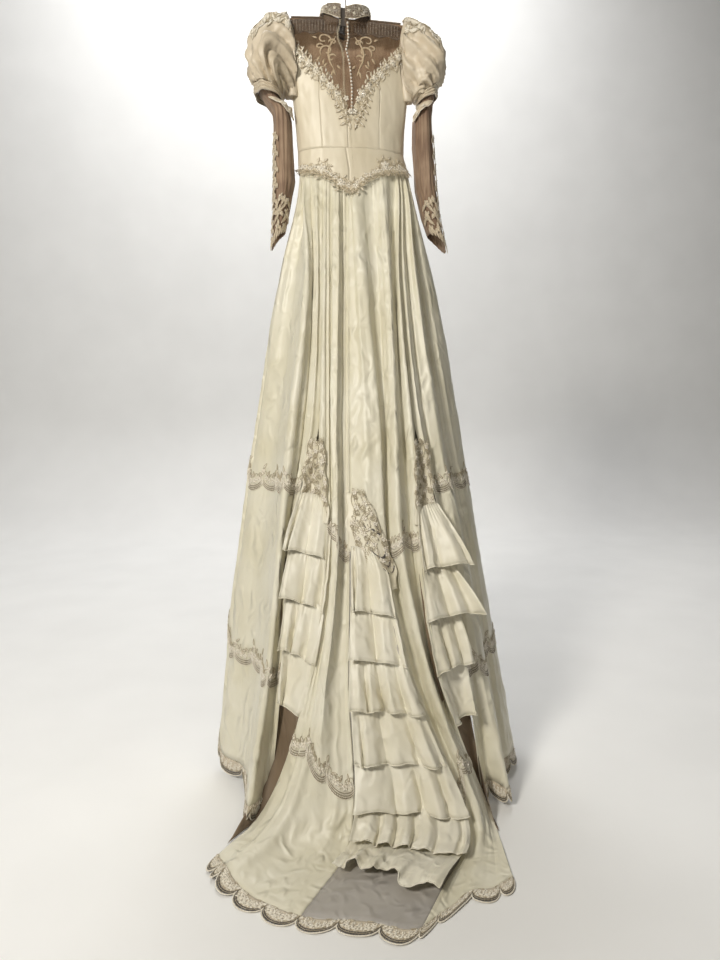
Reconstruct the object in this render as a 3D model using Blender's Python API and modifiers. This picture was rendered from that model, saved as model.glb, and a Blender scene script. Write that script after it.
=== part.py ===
"""Wedding dress with a cathedral train, hung by its shoulders on a padded hanger.

The origin is the inside of the hanger's hook, where a rod bears on it.  +Z is up, the back of
the dress faces -Y and +X is to the right as seen from behind.  Every piece of cloth is an open
surface thickened inwards, so the surface functions below give the outside of the cloth.
"""
import math

import bmesh
import bpy
import numpy as np

# ---------------------------------------------------------------- driving sizes (metres)
FLOOR = -2.300            # the floor that the train lies on
SHOULDER_Z = -0.1345      # top of the shoulder line
WAIST_Z = -0.515          # waist seam
BASQUE_SIDE_Z = -0.570    # lower edge of the basque at the sides
BASQUE_DIP = 0.068        # how much lower its point is at the centre
UNDERARM_Z = -0.360
FRONT_HEM_Z = -1.700      # floor length in front, about 1.1 m below the waist
SIDE_HEM_Z = -2.285       # the hem at the widest point of each side

SATIN = 0.0020            # wall of the satin pieces
RUFFLE = 0.0014           # wall of the ruffles
TAUT = 0.5                # how far a ruffle's seam is pulled straight across its insert
RUFFLE_LIFT = 0.0055      # how far a ruffle's gathered top stands off the insert
NET = 0.0012              # wall of the net pieces
LACE = 0.0014             # wall of the lace pieces
SEAM = 0.0002             # half of the gap between two pieces at a seam
PROUD = 0.0006            # gap between a panel and what lies on it

HEM_LACE = 0.046          # depth of the scalloped edging
JOINT_LACE = 0.022        # its depth where two scallops join
SLOT = 0.009              # width of the open arc in each scallop
CORD = 0.004              # width of the cord below the open arc
HEM_SEAM = (0.0014, 0.0048)   # gap between the hem and its edging: elsewhere, and at the sides

MOTIF_LIFT = 0.0060       # how far a motif's outside stands off the folds it lies over

STAND_LIFT = 0.0040       # how far the button stand's outside is off the net
PEARL_COUNT = 27
PEARL = 0.0062

# ---------------------------------------------------------------- tables
# Body of the dress, a row for each level: centre and half width across, depth to the back
# and to the front, and how much that depth runs out to nothing at the sides.
BODY = [
    # z,     centre, half,   back,   front,  runout
    (-0.240, 0.004, 0.172, 0.050, 0.062, 0.50),
    (-0.360, 0.013, 0.168, 0.060, 0.078, 1.00),
    (-0.440, 0.013, 0.160, 0.066, 0.068, 1.00),
    (-0.515, 0.015, 0.156, 0.071, 0.060, 1.00),
    (-0.580, 0.026, 0.166, 0.076, 0.062, 1.00),
    (-0.640, 0.026, 0.170, 0.082, 0.066, 1.00),
]
# How far the yoke stands out from the hanger, by height below the shoulder line.
SHOULDER_ROUND = [
    # drop,  out
    (0.000, 0.0008), (0.003, 0.0095), (0.008, 0.0145), (0.020, 0.0180),
    (0.050, 0.0260), (0.1055, 0.0500),
]
# Lengthwise fold lines of the back of the skirt, from left to right.  The first five columns
# are x at the heights in FOLD_LEVELS; touch is where the line meets the floor and hem is where
# it ends; stand is how far it stands out (a valley is negative) and lift how high it rolls.
FOLD_LEVELS = (-0.60, -0.85, -1.34, -1.62, -1.90)
FOLDS = {
    # name: waist,  hip,   slit,   tier,   shin,   touch_x, touch_y, hem_x, hem_y, stand, lift
    "A1": (-.135, -.192, -.276, -.319, -.355, -.391, -.170, None, None, .000, .010),
    "A2": (-.130, -.150, -.212, -.239, -.266, -.322, -.285, None, None, -.032, .006),
    "A3": (-.121, -.116, -.166, -.200, -.228, -.292, -.438, None, None, .028, .004),
    "A4": (-.108, -.104, -.143, -.188, -.214, -.262, -.420, None, None, -.008, .004),
    "A5": (-.092, -.092, -.125, -.180, -.203, -.238, -.372, None, None, .008, .006),
    "S1": (-.076, -.079, -.101, -.136, -.172, -.232, -.360, None, None, -.010, .020),
    "B1": (-.064, -.071, -.083, -.088, -.134, -.290, -.480, -.385, -.604, .012, .012),
    "B2": (-.051, -.057, -.070, -.076, -.116, -.262, -.560, -.366, -.660, .005, .030),
    "B3": (-.030, -.036, -.056, -.062, -.094, -.200, -.592, -.330, -.718, .022, .006),
    "B4": (-.016, -.020, -.036, -.044, -.066, -.130, -.606, -.268, -.774, -.012, .000),
    "S2": (-.001, -.005, -.019, -.026, -.039, -.066, -.612, -.196, -.819, -.006, .000),
    "M2": (.002, .008, .012, .012, .030, .065, -.622, -.075, -.868, -.006, .000),
    "C1": (.012, .024, .053, .056, .100, .224, -.606, .050, -.880, .018, .010),
    "C2": (.064, .074, .084, .077, .132, .250, -.600, .118, -.832, -.014, .000),
    "C3": (.100, .108, .108, .110, .160, .274, -.596, .185, -.790, .022, .006),
    "C4": (.138, .126, .127, .140, .178, .300, -.575, .244, -.786, -.014, .000),
    "C5": (.146, .136, .150, .161, .188, .326, -.512, .300, -.760, .012, .004),
    "S3": (.151, .142, .169, .194, .232, .290, -.392, None, None, -.010, .020),
    "D1": (.157, .154, .188, .238, .272, .318, -.440, None, None, .008, .004),
    "D2": (.163, .168, .206, .258, .296, .345, -.418, None, None, -.012, .004),
    "D3": (.169, .186, .243, .292, .330, .385, -.440, None, None, .024, .004),
    "D4": (.175, .205, .270, .332, .376, .410, -.340, None, None, -.022, .006),
    "D5": (.181, .224, .300, .360, .404, .444, -.290, None, None, .012, .008),
    "D6": (.1865, .254, .344, .391, .438, .497, -.150, None, None, .000, .010),
}
# How much of a fold's stand shows at each level, at the floor and at the hem.
STAND_SCALE = (0.20, 0.80, 1.10, 1.25, 1.30, 0.80, 0.40)

# Folds of the hidden front, by the angle round from the centre front.
FRONT_ANGLES = (-75, -55, -41, -27, -13, 0, 13, 27, 41, 55, 75)
FRONT_STAND = 0.012

# Inserts: the seam line above, the folds on either side, where the opening starts, and how
# deep the insert sinks between the panels.
INSERTS = {
    # name:  seam, left,  right, top,  reach, sink
    "left": ("S1", "A5", "B1", 0.420, 0.850, 0.028),
    "centre": ("S2", "S2", "C1", 0.430, 1.000, 0.022),
    "right": ("S3", "C5", "D1", 0.420, 0.800, 0.028),
}
OPENING = 0.095           # length over which an insert opens out, in t
TUCK = 0.0045             # how far an edge that is sewn under another lies inside it
TUCK_LAP = 0.004          # how far it runs on under the other

# Lace motifs over the inserts: the folds they lie between, where they start and end, and the
# shares of the way across from one fold to the other that they cover at each end.
MOTIFS = {
    # name: first, last, start, end, left_top, right_top, left_end, right_end
    "left": ("A5", "B1", 0.398, 0.502, 0.25, 0.75, 0.04, 0.96),
    "centre": ("B4", "centre:right", 0.415, 0.520, 0.14, 0.75, 0.12, 0.97),
    "right": ("C5", "D1", 0.398, 0.502, 0.25, 0.75, 0.04, 0.96),
}
# Ruffles, a row for each tier: its gathered top and its hem along the insert, its waves, how
# far its hem stands off the insert at the left and the right, and how far the hem flares past
# the insert at the left and the right.
RUFFLES = {
    "left": [
        # top,  hem,  waves, stand_left, stand_right, flare_left, flare_right
        (0.508, 0.600, 3, 0.026, 0.022, 0.014, 0.000),
        (0.598, 0.684, 3, 0.026, 0.022, 0.014, 0.000),
        (0.682, 0.766, 2, 0.026, 0.020, 0.010, 0.000),
        (0.766, 0.830, 1, 0.018, 0.016, 0.002, 0.000),
    ],
    "centre": [
        (0.530, 0.606, 3, 0.016, 0.030, 0.000, 0.008),
        (0.604, 0.672, 3, 0.018, 0.036, 0.000, 0.012),
        (0.670, 0.736, 4, 0.022, 0.038, 0.000, 0.012),
        (0.734, 0.794, 4, 0.026, 0.040, 0.002, 0.010),
        (0.792, 0.846, 4, 0.028, 0.040, 0.004, 0.008),
        (0.844, 0.888, 5, 0.028, 0.036, 0.004, 0.004),
        (0.886, 0.918, 5, 0.022, 0.026, 0.000, 0.000),
    ],
    "right": [
        (0.508, 0.600, 3, 0.020, 0.040, 0.000, 0.048),
        (0.598, 0.684, 3, 0.020, 0.042, 0.000, 0.042),
        (0.682, 0.760, 2, 0.022, 0.028, 0.000, 0.008),
        (0.764, 0.820, 1, 0.018, 0.018, 0.000, 0.000),
    ],
}
# Puffed sleeve heads, a row for each ring from the armhole to the band: its outer and its
# inner point, its depth from front to back, and how strongly the gathers show.
PUFFS = {
    "left": [
        # out_x, out_z, in_x, in_z, depth, gather
        (-0.160, -0.142, -0.162, -0.364, 0.030, 0.000),
        (-0.206, -0.144, -0.168, -0.362, 0.060, 0.005),
        (-0.262, -0.195, -0.174, -0.357, 0.086, 0.008),
        (-0.277, -0.270, -0.177, -0.352, 0.084, 0.009),
        (-0.262, -0.328, -0.187, -0.353, 0.060, 0.004),
    ],
    "right": [
        (0.164, -0.142, 0.186, -0.364, 0.030, 0.000),
        (0.212, -0.141, 0.191, -0.360, 0.060, 0.005),
        (0.266, -0.186, 0.197, -0.353, 0.086, 0.008),
        (0.285, -0.256, 0.202, -0.346, 0.082, 0.009),
        (0.268, -0.314, 0.212, -0.346, 0.056, 0.004),
    ],
}
PUFF_GATHERS = 6
BAND_DEPTH = 0.031
BAND_TUCKS = 3
BAND_COLUMNS = 12
# Sleeves, a row for each ring below the band; the left and the right hang differently.
SLEEVES = {
    "left": [
        # z,     centre, half_x, half_y
        (-0.350, -0.2230, 0.0290, 0.0480),
        (-0.378, -0.2120, 0.0200, 0.0460),
        (-0.400, -0.1890, 0.0240, 0.0520),
        (-0.434, -0.1830, 0.0260, 0.0560),
        (-0.600, -0.1810, 0.0300, 0.0540),
        (-0.680, -0.1910, 0.0230, 0.0480),
        (-0.790, -0.2050, 0.0150, 0.0380),
    ],
    "right": [
        (-0.338, 0.2400, 0.0220, 0.0450),
        (-0.368, 0.2375, 0.0190, 0.0450),
        (-0.400, 0.2270, 0.0260, 0.0540),
        (-0.480, 0.2290, 0.0285, 0.0560),
        (-0.600, 0.2390, 0.0290, 0.0540),
        (-0.680, 0.2530, 0.0250, 0.0480),
        (-0.785, 0.2850, 0.0180, 0.0380),
    ],
}
SLEEVE_DOWN = (0.0, 0.064, 0.125, 0.21, 0.38, 0.57, 0.76, 1.0)
CUFF_INNER_RISE = 0.050
SLEEVE_CENTRE_Y = 0.004

# The line of pearls down the back, and the edge of the net to its left.
PEARL_LINE = [
    # z,     x
    (-0.166, 0.001), (-0.205, 0.004), (-0.245, -0.004), (-0.290, 0.006),
    (-0.350, 0.011), (-0.424, 0.010),
]
LOOP_EDGE = [
    (-0.157, -0.019), (-0.190, -0.027), (-0.212, -0.026), (-0.240, -0.017),
    (-0.265, -0.012), (-0.340, -0.012), (-0.380, -0.008), (-0.435, -0.001),
]
KEYHOLE_END_Z = -0.232

# Stand collar round the neck, by angle from the centre back (positive towards +X).
COLLAR_HALF_X = 0.073
COLLAR_HALF_Y = 0.054
COLLAR_CENTRE_Y = 0.010
NECK_TUCK = 0.0060        # how far inside the collar the net runs up
COLLAR_OPENING = (-0.018, -0.006)
COLLAR_EDGES = [
    # angle, top,    bottom
    (0, -0.1230, -0.1570), (20, -0.1140, -0.1550), (50, -0.1090, -0.1385), (60, -0.1085, -0.1320),
    (70, -0.1075, -0.1270), (90, -0.1060, -0.1265), (110, -0.1120, -0.1275), (135, -0.1200, -0.1500),
    (180, -0.1300, -0.1680),
]

HANGER_Z = -0.1500
HANGER_DROOP = 0.0080
HANGER_HALF_LENGTH = 0.164
HANGER_RADIUS = 0.0105
HANGER_CLEAR = 0.0045
HOOK_WIRE = 0.0018
HOOK_RADIUS = 0.020       # the inside of the hook
HOOK_NECK_Z = -0.080      # where the straight shank starts to bend to the hook
HOOK_BEND = (0.004, -0.058)
HOOK_TURNS = (-60.0, 165.0)

COLOURS = {
    # material: (red, green, blue), roughness, metallic
    "satin": ((0.80, 0.76, 0.66), 0.38, 0.0),
    "net": ((0.45, 0.36, 0.28), 0.75, 0.0),
    "lace": ((0.82, 0.77, 0.65), 0.60, 0.0),
    "pearl": ((0.90, 0.86, 0.78), 0.25, 0.0),
    "hanger": ((0.10, 0.10, 0.11), 0.70, 0.0),
    "wire": ((0.60, 0.60, 0.62), 0.30, 1.0),
}


# ---------------------------------------------------------------- helpers
def clear_scene():
    """Take every object out of the file."""
    for obj in list(bpy.data.objects):
        bpy.data.objects.remove(obj, do_unlink=True)


def make_collection(name):
    """Make the collection that holds the parts."""
    coll = bpy.data.collections.new(name)
    bpy.context.scene.collection.children.link(coll)
    return coll


def material(kind, node):
    """A Principled material for one piece, in one of the dress's colours."""
    rgb, rough, metal = COLOURS[kind]
    mat = bpy.data.materials.new(node + "_" + kind)
    mat.use_nodes = True
    bsdf = mat.node_tree.nodes["Principled BSDF"]
    bsdf.inputs["Base Color"].default_value = (*rgb, 1.0)
    bsdf.inputs["Roughness"].default_value = rough
    bsdf.inputs["Metallic"].default_value = metal
    mat.diffuse_color = (*rgb, 1.0)
    return mat


def table(rows, key, column):
    """Read one column of a table at key, in straight lines between its rows."""
    keys = [row[0] for row in rows]
    values = [row[column] for row in rows]
    if keys[0] > keys[-1]:
        keys, values = keys[::-1], values[::-1]
    return float(np.interp(key, keys, values))


def ease(x):
    """0 before 0, 1 after 1 and a smooth step between."""
    x = min(1.0, max(0.0, x))
    return x * x * (3.0 - 2.0 * x)


def mix(a, b, f):
    """Blend two values or points."""
    return a + (b - a) * f


def unit(vector):
    """The vector at length one."""
    return vector / max(np.linalg.norm(vector), 1e-9)


def finish(mesh, name, kind):
    """Put a mesh in the parts collection as one named piece."""
    obj = bpy.data.objects.new(name, mesh)
    PARTS.objects.link(obj)
    mesh.materials.append(material(kind, name))
    mesh.shade_smooth()
    return obj


def thicken(obj, wall, inwards):
    """Solidify an open surface by wall, to the inner or the outer side of its faces."""
    mod = obj.modifiers.new("wall", "SOLIDIFY")
    mod.thickness = wall
    mod.offset = -1.0 if inwards else 1.0
    mod.use_even_offset = False
    mod.use_rim = True


def sheet(name, kind, wall, columns, rows, point, outside, closed=False, holes=None):
    """Cloth from a grid: point(u, v) gives its outer surface for u and v from 0 to 1.

    outside is a direction that points out of the cloth at its middle.  closed joins the last
    column to the first.  holes(column, row) says which cells are left open.
    """
    bm = bmesh.new()
    bmesh.ops.create_grid(bm, x_segments=columns, y_segments=rows, size=0.5)
    if holes:
        gone = []
        for face in bm.faces:
            mid = face.calc_center_median()
            cell = (int((mid.x + 0.5) * columns), int((mid.y + 0.5) * rows))
            if holes(*cell):
                gone.append(face)
        bmesh.ops.delete(bm, geom=gone, context="FACES")
    for vert in bm.verts:
        vert.co = point(min(1.0, max(0.0, vert.co.x + 0.5)), min(1.0, max(0.0, vert.co.y + 0.5)))
    if closed:
        bmesh.ops.remove_doubles(bm, verts=bm.verts, dist=0.00002)
    bm.normal_update()
    middle = np.array(point(0.5, 0.5))
    nearest = min(bm.faces, key=lambda f: np.linalg.norm(np.array(f.calc_center_median()) - middle))
    faces_out = float(np.dot(np.array(nearest.normal), np.array(outside))) > 0.0
    mesh = bpy.data.meshes.new(name)
    bm.to_mesh(mesh)
    bm.free()
    obj = finish(mesh, name, kind)
    thicken(obj, wall, faces_out)
    return obj


# ---------------------------------------------------------------- the body of the dress
def body_point(x, z, side, out=0.0):
    """The outside of the bodice at x and z, on the back (side -1) or the front (side 1)."""
    centre = table(BODY, z, 1)
    half = table(BODY, z, 2)
    if z > BODY[0][0]:
        depth = table(SHOULDER_ROUND, SHOULDER_Z - z, 1)
        if side > 0:
            depth *= 1.0 + 0.24 * (SHOULDER_Z - z) / 0.1055
        runout = BODY[0][5] * ease((SHOULDER_Z - 0.02 - z) / 0.0855)
    else:
        depth = table(BODY, z, 3 if side < 0 else 4)
        runout = table(BODY, z, 5)
    across = max(-0.9999, min(0.9999, (x - centre) / half))
    bow = math.sqrt(1.0 - across ** 2)
    point = np.array((x, side * depth * mix(1.0, bow, runout), z))
    return point + out * unit(np.array((runout * across / half, side * bow / depth, 0.0)))


def neckline_z(x):
    """The V of the satin at the back, from the armholes to a point at the pearls."""
    return -0.436 + 0.196 * min(1.0, abs(x - 0.002) / 0.160) ** 0.7


def basque_z(x):
    """The lower edge of the basque, which dips to a point in the middle."""
    return BASQUE_SIDE_Z - BASQUE_DIP * math.exp(-(abs(x - 0.004) / 0.062) ** 1.4)


def armhole_x(z, side):
    """The armhole's edge; side is -1 at the left and 1 at the right."""
    rows = [(-0.134, 0.182), (-0.180, 0.168), (-0.240, 0.157), (-0.300, 0.155), (-0.360, 0.167)]
    return table(BODY, min(z, -0.24), 1) * ease((-0.14 - z) / 0.1) + side * table(rows, z, 1)


def neck_edge(x, side):
    """Height and depth of the yoke's upper edge: along the shoulder, or under the collar."""
    drop = 0.004 * max(0.0, abs(x) - COLLAR_HALF_X) / 0.1
    inside = COLLAR_HALF_X - NECK_TUCK
    if abs(x) >= inside:
        return SHOULDER_Z - drop, 0.0008
    reach = math.sqrt(1.0 - (x / inside) ** 2)
    turn = math.degrees(math.acos(reach))
    z = table(COLLAR_EDGES, turn if side < 0 else 180.0 - turn, 2) + TUCK_LAP * reach
    neck = (COLLAR_HALF_Y - NECK_TUCK) * reach + side * COLLAR_CENTRE_Y
    return z, max(0.0008, neck)


def yoke_point(x, z, side, out=0.0):
    """The net yoke at x and z, which runs in to the neck under the collar."""
    top, neck = neck_edge(x, side)
    point = body_point(x, z, side, out)
    keep = (1.0 - ease((top - z) / 0.085)) * (1.0 if abs(x) < COLLAR_HALF_X - NECK_TUCK else 0.0)
    depth = mix(abs(point[1]), neck + out, keep)
    over_bar = z - HANGER_Z + HANGER_DROOP * (x / HANGER_HALF_LENGTH) ** 2
    clear = math.sqrt(max(0.0, (HANGER_RADIUS + HANGER_CLEAR) ** 2 - over_bar ** 2))
    return np.array((point[0], side * max(depth, clear, 0.0008), z))


def upper_back(x, z, out):
    """The outside of the back above the waist: net over satin, whichever is there."""
    return yoke_point(x, z, -1.0, out) if z > neckline_z(x) else body_point(x, z, -1.0, out)


def yoke_sheet(x, down, side, bottom):
    """The yoke at x; down runs from 0 at its upper edge to 1, tucked under the satin."""
    top = neck_edge(x, side)[0]
    low = bottom - TUCK_LAP
    z = mix(top, low, down ** 1.6)
    tuck = TUCK * ease(1.0 - (z - low) / 0.022)
    return yoke_point(x, z, side, -tuck)


def front_arch(x):
    """The upper edge of the satin in front."""
    return -0.250 - 0.110 * (1.0 - min(1.0, abs(x - 0.004) / 0.155) ** 1.6)


def make_yokes():
    """Net over the shoulders: two backs that meet at the pearls, and the front."""
    def left(u, v):
        z = mix(-0.14, neckline_z(mix(-0.154, -0.01, u)), (1.0 - v) ** 1.3)
        x = mix(armhole_x(z, -1) + 0.001, table(LOOP_EDGE, z, 1) - 0.001, u)
        return yoke_sheet(x, 1.0 - v, -1.0, neckline_z(x))

    def right(u, v):
        z = mix(-0.14, neckline_z(mix(0.01, 0.154, u)), (1.0 - v) ** 1.3)
        keyhole = 1.0 - ease((KEYHOLE_END_Z + 0.012 - z) / 0.02)
        x = mix(mix(table(LOOP_EDGE, z, 1) + 0.0022, -0.006, keyhole), armhole_x(z, 1) - 0.001, u)
        return yoke_sheet(x, 1.0 - v, -1.0, neckline_z(x))

    def front(u, v):
        z = mix(-0.14, -0.30, (1.0 - v) ** 1.3)
        x = mix(armhole_x(z, -1) + 0.001, armhole_x(z, 1) - 0.001, u)
        return yoke_sheet(x, 1.0 - v, 1.0, front_arch(x))

    sheet("yoke_back_left", "net", NET, 8, 6, left, (0, -1, 0))
    sheet("yoke_back_right", "net", NET, 8, 6, right, (0, -1, 0))
    sheet("yoke_front", "net", NET, 14, 5, front, (0, 1, 0))


def bodice_x(angle, z):
    """How far across the bodice is at an angle from the centre back, in at the armholes."""
    turn = math.sin(math.radians(angle))
    centre = table(BODY, z, 1)
    half = table(BODY, z, 2)
    if z > UNDERARM_Z:
        half = min(half, abs(armhole_x(z, 1.0 if turn > 0 else -1.0) - centre))
    return centre + half * turn


def satin_top(angle, edge):
    """The upper edge of the satin at an angle: the neckline, then down to the underarm."""
    z = UNDERARM_Z
    for _ in range(4):
        z = edge(bodice_x(angle, z))
    return mix(z, UNDERARM_Z, ease((abs(math.sin(math.radians(angle))) - 0.915) / 0.08))


def make_bodice():
    """Satin bodice from the V to the waist seam, in princess panels, and the basque."""
    def panel(name, first, last, edge, bottom, columns, rows):
        side = 1.0 if name == "bodice_front" else -1.0

        def point(u, v):
            angle = mix(first, last, u)
            low = bottom(table(BODY, -0.58, 1) + table(BODY, -0.58, 2) * math.sin(math.radians(angle)))
            z = mix(satin_top(angle, edge), low, 1.0 - v)
            return body_point(bodice_x(angle, z), z, side)
        middle = math.radians(0.5 * (first + last))
        sheet(name, "satin", SATIN, columns, rows, point, (math.sin(middle), -math.cos(middle), 0))

    gap = 0.09
    back = (neckline_z, lambda x: WAIST_Z + SEAM)
    panel("bodice_side_left", -89.6, -34.0 - gap, *back, 6, 6)
    panel("bodice_back_left", -34.0 + gap, -5.3 - gap, *back, 4, 6)
    panel("bodice_back_right", -5.3 + gap, 29.0 - gap, *back, 4, 6)
    panel("bodice_side_right", 29.0 + gap, 89.6, *back, 6, 6)
    panel("bodice_front", 90.4, 269.6, front_arch, lambda x: basque_z(x) + 2 * SEAM, 14, 6)

    def basque(name, first, last):
        def point(u, v):
            angle = mix(first, last, u)
            x = table(BODY, -0.58, 1) + table(BODY, -0.58, 2) * math.sin(math.radians(angle))
            z = mix(WAIST_Z - SEAM, basque_z(x) + 2 * SEAM, 1.0 - v)
            return body_point(bodice_x(angle, z), z, -1.0)
        middle = math.radians(0.5 * (first + last))
        sheet(name, "satin", SATIN, 7, 2, point, (math.sin(middle), -math.cos(middle), 0))
    basque("basque_left", -89.6, -8.2 - gap)
    basque("basque_right", -8.2 + gap, 89.6)


def make_collar():
    """Beaded stand collar, open at the centre back."""
    start = math.degrees(math.asin(COLLAR_OPENING[1] / COLLAR_HALF_X))
    end = 360.0 + math.degrees(math.asin(COLLAR_OPENING[0] / COLLAR_HALF_X))

    def point(u, v):
        angle = mix(start, end, u)
        fold = min(angle % 360.0, 360.0 - angle % 360.0)
        turn = math.radians(angle)
        top = table(COLLAR_EDGES, fold, 1)
        bottom = table(COLLAR_EDGES, fold, 2) + 2 * SEAM
        narrow = 1.0 - 0.06 * v
        return (COLLAR_HALF_X * narrow * math.sin(turn),
                COLLAR_CENTRE_Y - COLLAR_HALF_Y * narrow * math.cos(turn), mix(bottom, top, v))
    sheet("collar", "lace", SATIN, 22, 2, point, (0, 1, 0))


def make_button_stand():
    """A narrow stand down the back with a row of pearls raised along it."""
    rows = 2 * PEARL_COUNT
    top, bottom = PEARL_LINE[0][0], PEARL_LINE[-1][0]

    def point(u, v):
        z = mix(bottom, top, v)
        x = table(PEARL_LINE, z, 1) + (u - 0.5) * 0.0084
        row = round(v * rows)
        pearl = PEARL * 0.75 if abs(u - 0.5) < 0.1 and row % 2 == 1 else 0.0
        return upper_back(x, z, STAND_LIFT + pearl)
    sheet("button_stand", "pearl", LACE, 2, rows, point, (0, -1, 0))


def make_body_lace():
    """Lace along the V and along the basque, in two halves each."""
    def neck(inner, outer):
        def point(u, v):
            x = mix(inner, outer, u if outer > 0 else 1.0 - u)
            wave = 0.005 * math.sin(u * 9.0 * math.pi)
            foot = 1.0 - ease((abs(x) - 0.036) / 0.022)
            edge = neckline_z(x)
            low = mix(edge - 0.030, min(edge - 0.030, -0.447), foot)
            z = mix(low, edge + 0.016, v) + wave * abs(2 * v - 1)
            return upper_back(x, z, 2 * PROUD + LACE)
        return point
    sheet("neckline_lace_left", "lace", LACE, 12, 3, neck(-0.006, -0.143), (0, -1, 0))
    sheet("neckline_lace_right", "lace", LACE, 12, 3, neck(0.0185, 0.149), (0, -1, 0))

    def waist(first, last):
        def point(u, v):
            x = mix(first, last, u)
            wave = 0.004 * math.sin(u * 11.0 * math.pi)
            rose = 0.012 * math.exp(-((abs(x - 0.004) - 0.080) / 0.020) ** 2)
            z = basque_z(x) + mix(-0.011, 0.024 + rose, v) + wave * abs(2 * v - 1)
            return body_point(x, z, -1.0, 2 * PROUD + LACE + 0.0075 * (1.0 - v) ** 1.5)
        return point
    sheet("waist_lace_left", "lace", LACE, 12, 2, waist(-0.122, -0.0008), (0, -1, 0))
    sheet("waist_lace_right", "lace", LACE, 14, 2, waist(-0.0002, 0.172), (0, -1, 0))


# ---------------------------------------------------------------- sleeves
def puff_ring(name, along, turn):
    """A point of the puff; along runs from the armhole to the band."""
    table_rows = PUFFS[name]
    spot = min(along * (len(table_rows) - 1), len(table_rows) - 1.0001)
    row = int(spot)
    f = spot - row
    weights = (-0.5 * f + f * f - 0.5 * f ** 3, 1 - 2.5 * f * f + 1.5 * f ** 3,
               0.5 * f + 2 * f * f - 1.5 * f ** 3, -0.5 * f * f + 0.5 * f ** 3)
    rows = [table_rows[min(max(row + k, 0), len(table_rows) - 1)] for k in (-1, 0, 1, 2)]
    out_x, out_z, in_x, in_z, depth, gather = (
        sum(w * r[c] for w, r in zip(weights, rows)) for c in range(6))
    share = 0.5 + 0.5 * math.cos(turn)
    ripple = gather * min(1.0, 1.6 * share) * math.sin(PUFF_GATHERS * turn + 1.1 * math.sin(turn))
    away = unit(np.array((out_x - in_x, 0.0, out_z - in_z)))
    point = np.array((mix(in_x, out_x, share), SLEEVE_CENTRE_Y * along - depth * math.sin(turn),
                      mix(in_z, out_z, share)))
    sewn = 1.0 - ease(along * 4.0)
    side = -1.0 if name == "left" else 1.0
    point[0] = mix(point[0], armhole_x(point[2], side) + side * 0.0030, sewn)
    return point + ripple * (away * math.cos(turn) - np.array((0.0, math.sin(turn), 0.0)))


def band_ring(name, u):
    """The ring where the puff meets its band, straight between the band's columns."""
    spot = u * BAND_COLUMNS
    i = min(int(spot + 1e-6), BAND_COLUMNS - 1)
    a, b = (puff_ring(name, 1.0, 2 * math.pi * k / BAND_COLUMNS) for k in (i, i + 1))
    return mix(a, b, spot - i)


def make_puffs():
    """Gathered puffs, each on a band of three tucks."""
    for name in ("left", "right"):
        def puff(u, v, n=name):
            if v > 0.001:
                return puff_ring(n, 1.0 - v, 2 * math.pi * u)
            return band_ring(n, u)
        sheet("puff_" + name, "satin", SATIN, 4 * PUFF_GATHERS, 6, puff, (0, 1, 0), closed=True)

        middle = 0.5 * (puff_ring(name, 1.0, 0.0) + puff_ring(name, 1.0, math.pi))

        def band(u, v, n=name, mid=middle):
            down = 1.0 - v
            point = puff_ring(n, 1.0, 2 * math.pi * u)
            tuck = (down * BAND_TUCKS) % 1.0 if down < 0.999 else 1.0
            swell = 1.0 + 0.05 * tuck - 0.02 * down
            point[0] = mid[0] + (point[0] - mid[0]) * swell
            point[1] = mid[1] + (point[1] - mid[1]) * swell
            point[2] -= 0.0010 + BAND_DEPTH * down * (0.75 + 0.25 * math.cos(2 * math.pi * u))
            return point
        sheet("puff_band_" + name, "satin", SATIN, BAND_COLUMNS, 2 * BAND_TUCKS, band,
              (0, 1, 0), closed=True)


def sleeve_point(name, u, v, out=0.0):
    """A point of a net sleeve; u goes round from the outer side by the back, v goes down."""
    rows = SLEEVES[name]
    side = -1 if name == "left" else 1
    turn = 2 * math.pi * u
    outer = 0.5 + 0.5 * math.cos(turn)
    end = rows[-1][0] + CUFF_INNER_RISE * (1.0 - outer ** 2)
    start = rows[0][0] - 0.010 * (1.0 - outer)
    z = mix(start, end, v)
    centre = table(rows, z, 1)
    half_x = table(rows, z, 2) + out
    half_y = table(rows, z, 3) + out
    return np.array((centre + side * half_x * math.cos(turn),
                     SLEEVE_CENTRE_Y - half_y * math.sin(turn), z))


def make_sleeves():
    """Net sleeves with a flap under the arm and a lace trail that widens into a cuff."""
    for name in ("left", "right"):
        side = -1 if name == "left" else 1
        sheet("sleeve_" + name, "net", NET, 12, len(SLEEVE_DOWN) - 1,
              lambda u, v, n=name: sleeve_point(n, u, SLEEVE_DOWN[round((1.0 - v) * 7)]),
              (0, 1, 0), closed=True)

        def trail(u, v, n=name):
            down = mix(0.28, 0.985, 1.0 - v)
            cuff = ease((down - 0.70) / 0.16)
            wide = mix(0.055, 0.200, cuff) + 0.010 * math.sin(down * 60.0)
            middle = mix(0.085, 0.215, cuff)
            return sleeve_point(n, middle + (u - 0.5) * wide * 2.0, down,
                                0.0062 + 0.0018 * cuff)
        sheet("sleeve_lace_" + name, "lace", LACE, 5, 10, trail, (side, -0.6, 0))

        def flap(u, v, n=name):
            down = 1.0 - v
            wide = 0.11 * (1.0 - down ** 1.5) + 0.012
            return sleeve_point(n, 0.42 - wide * (1.0 - u) * 2.0 + 0.02 * down,
                                mix(0.06, 0.185, down), 0.0075)
        sheet("sleeve_flap_" + name, "lace", LACE, 4, 4, flap, (0, -1, 0))


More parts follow.
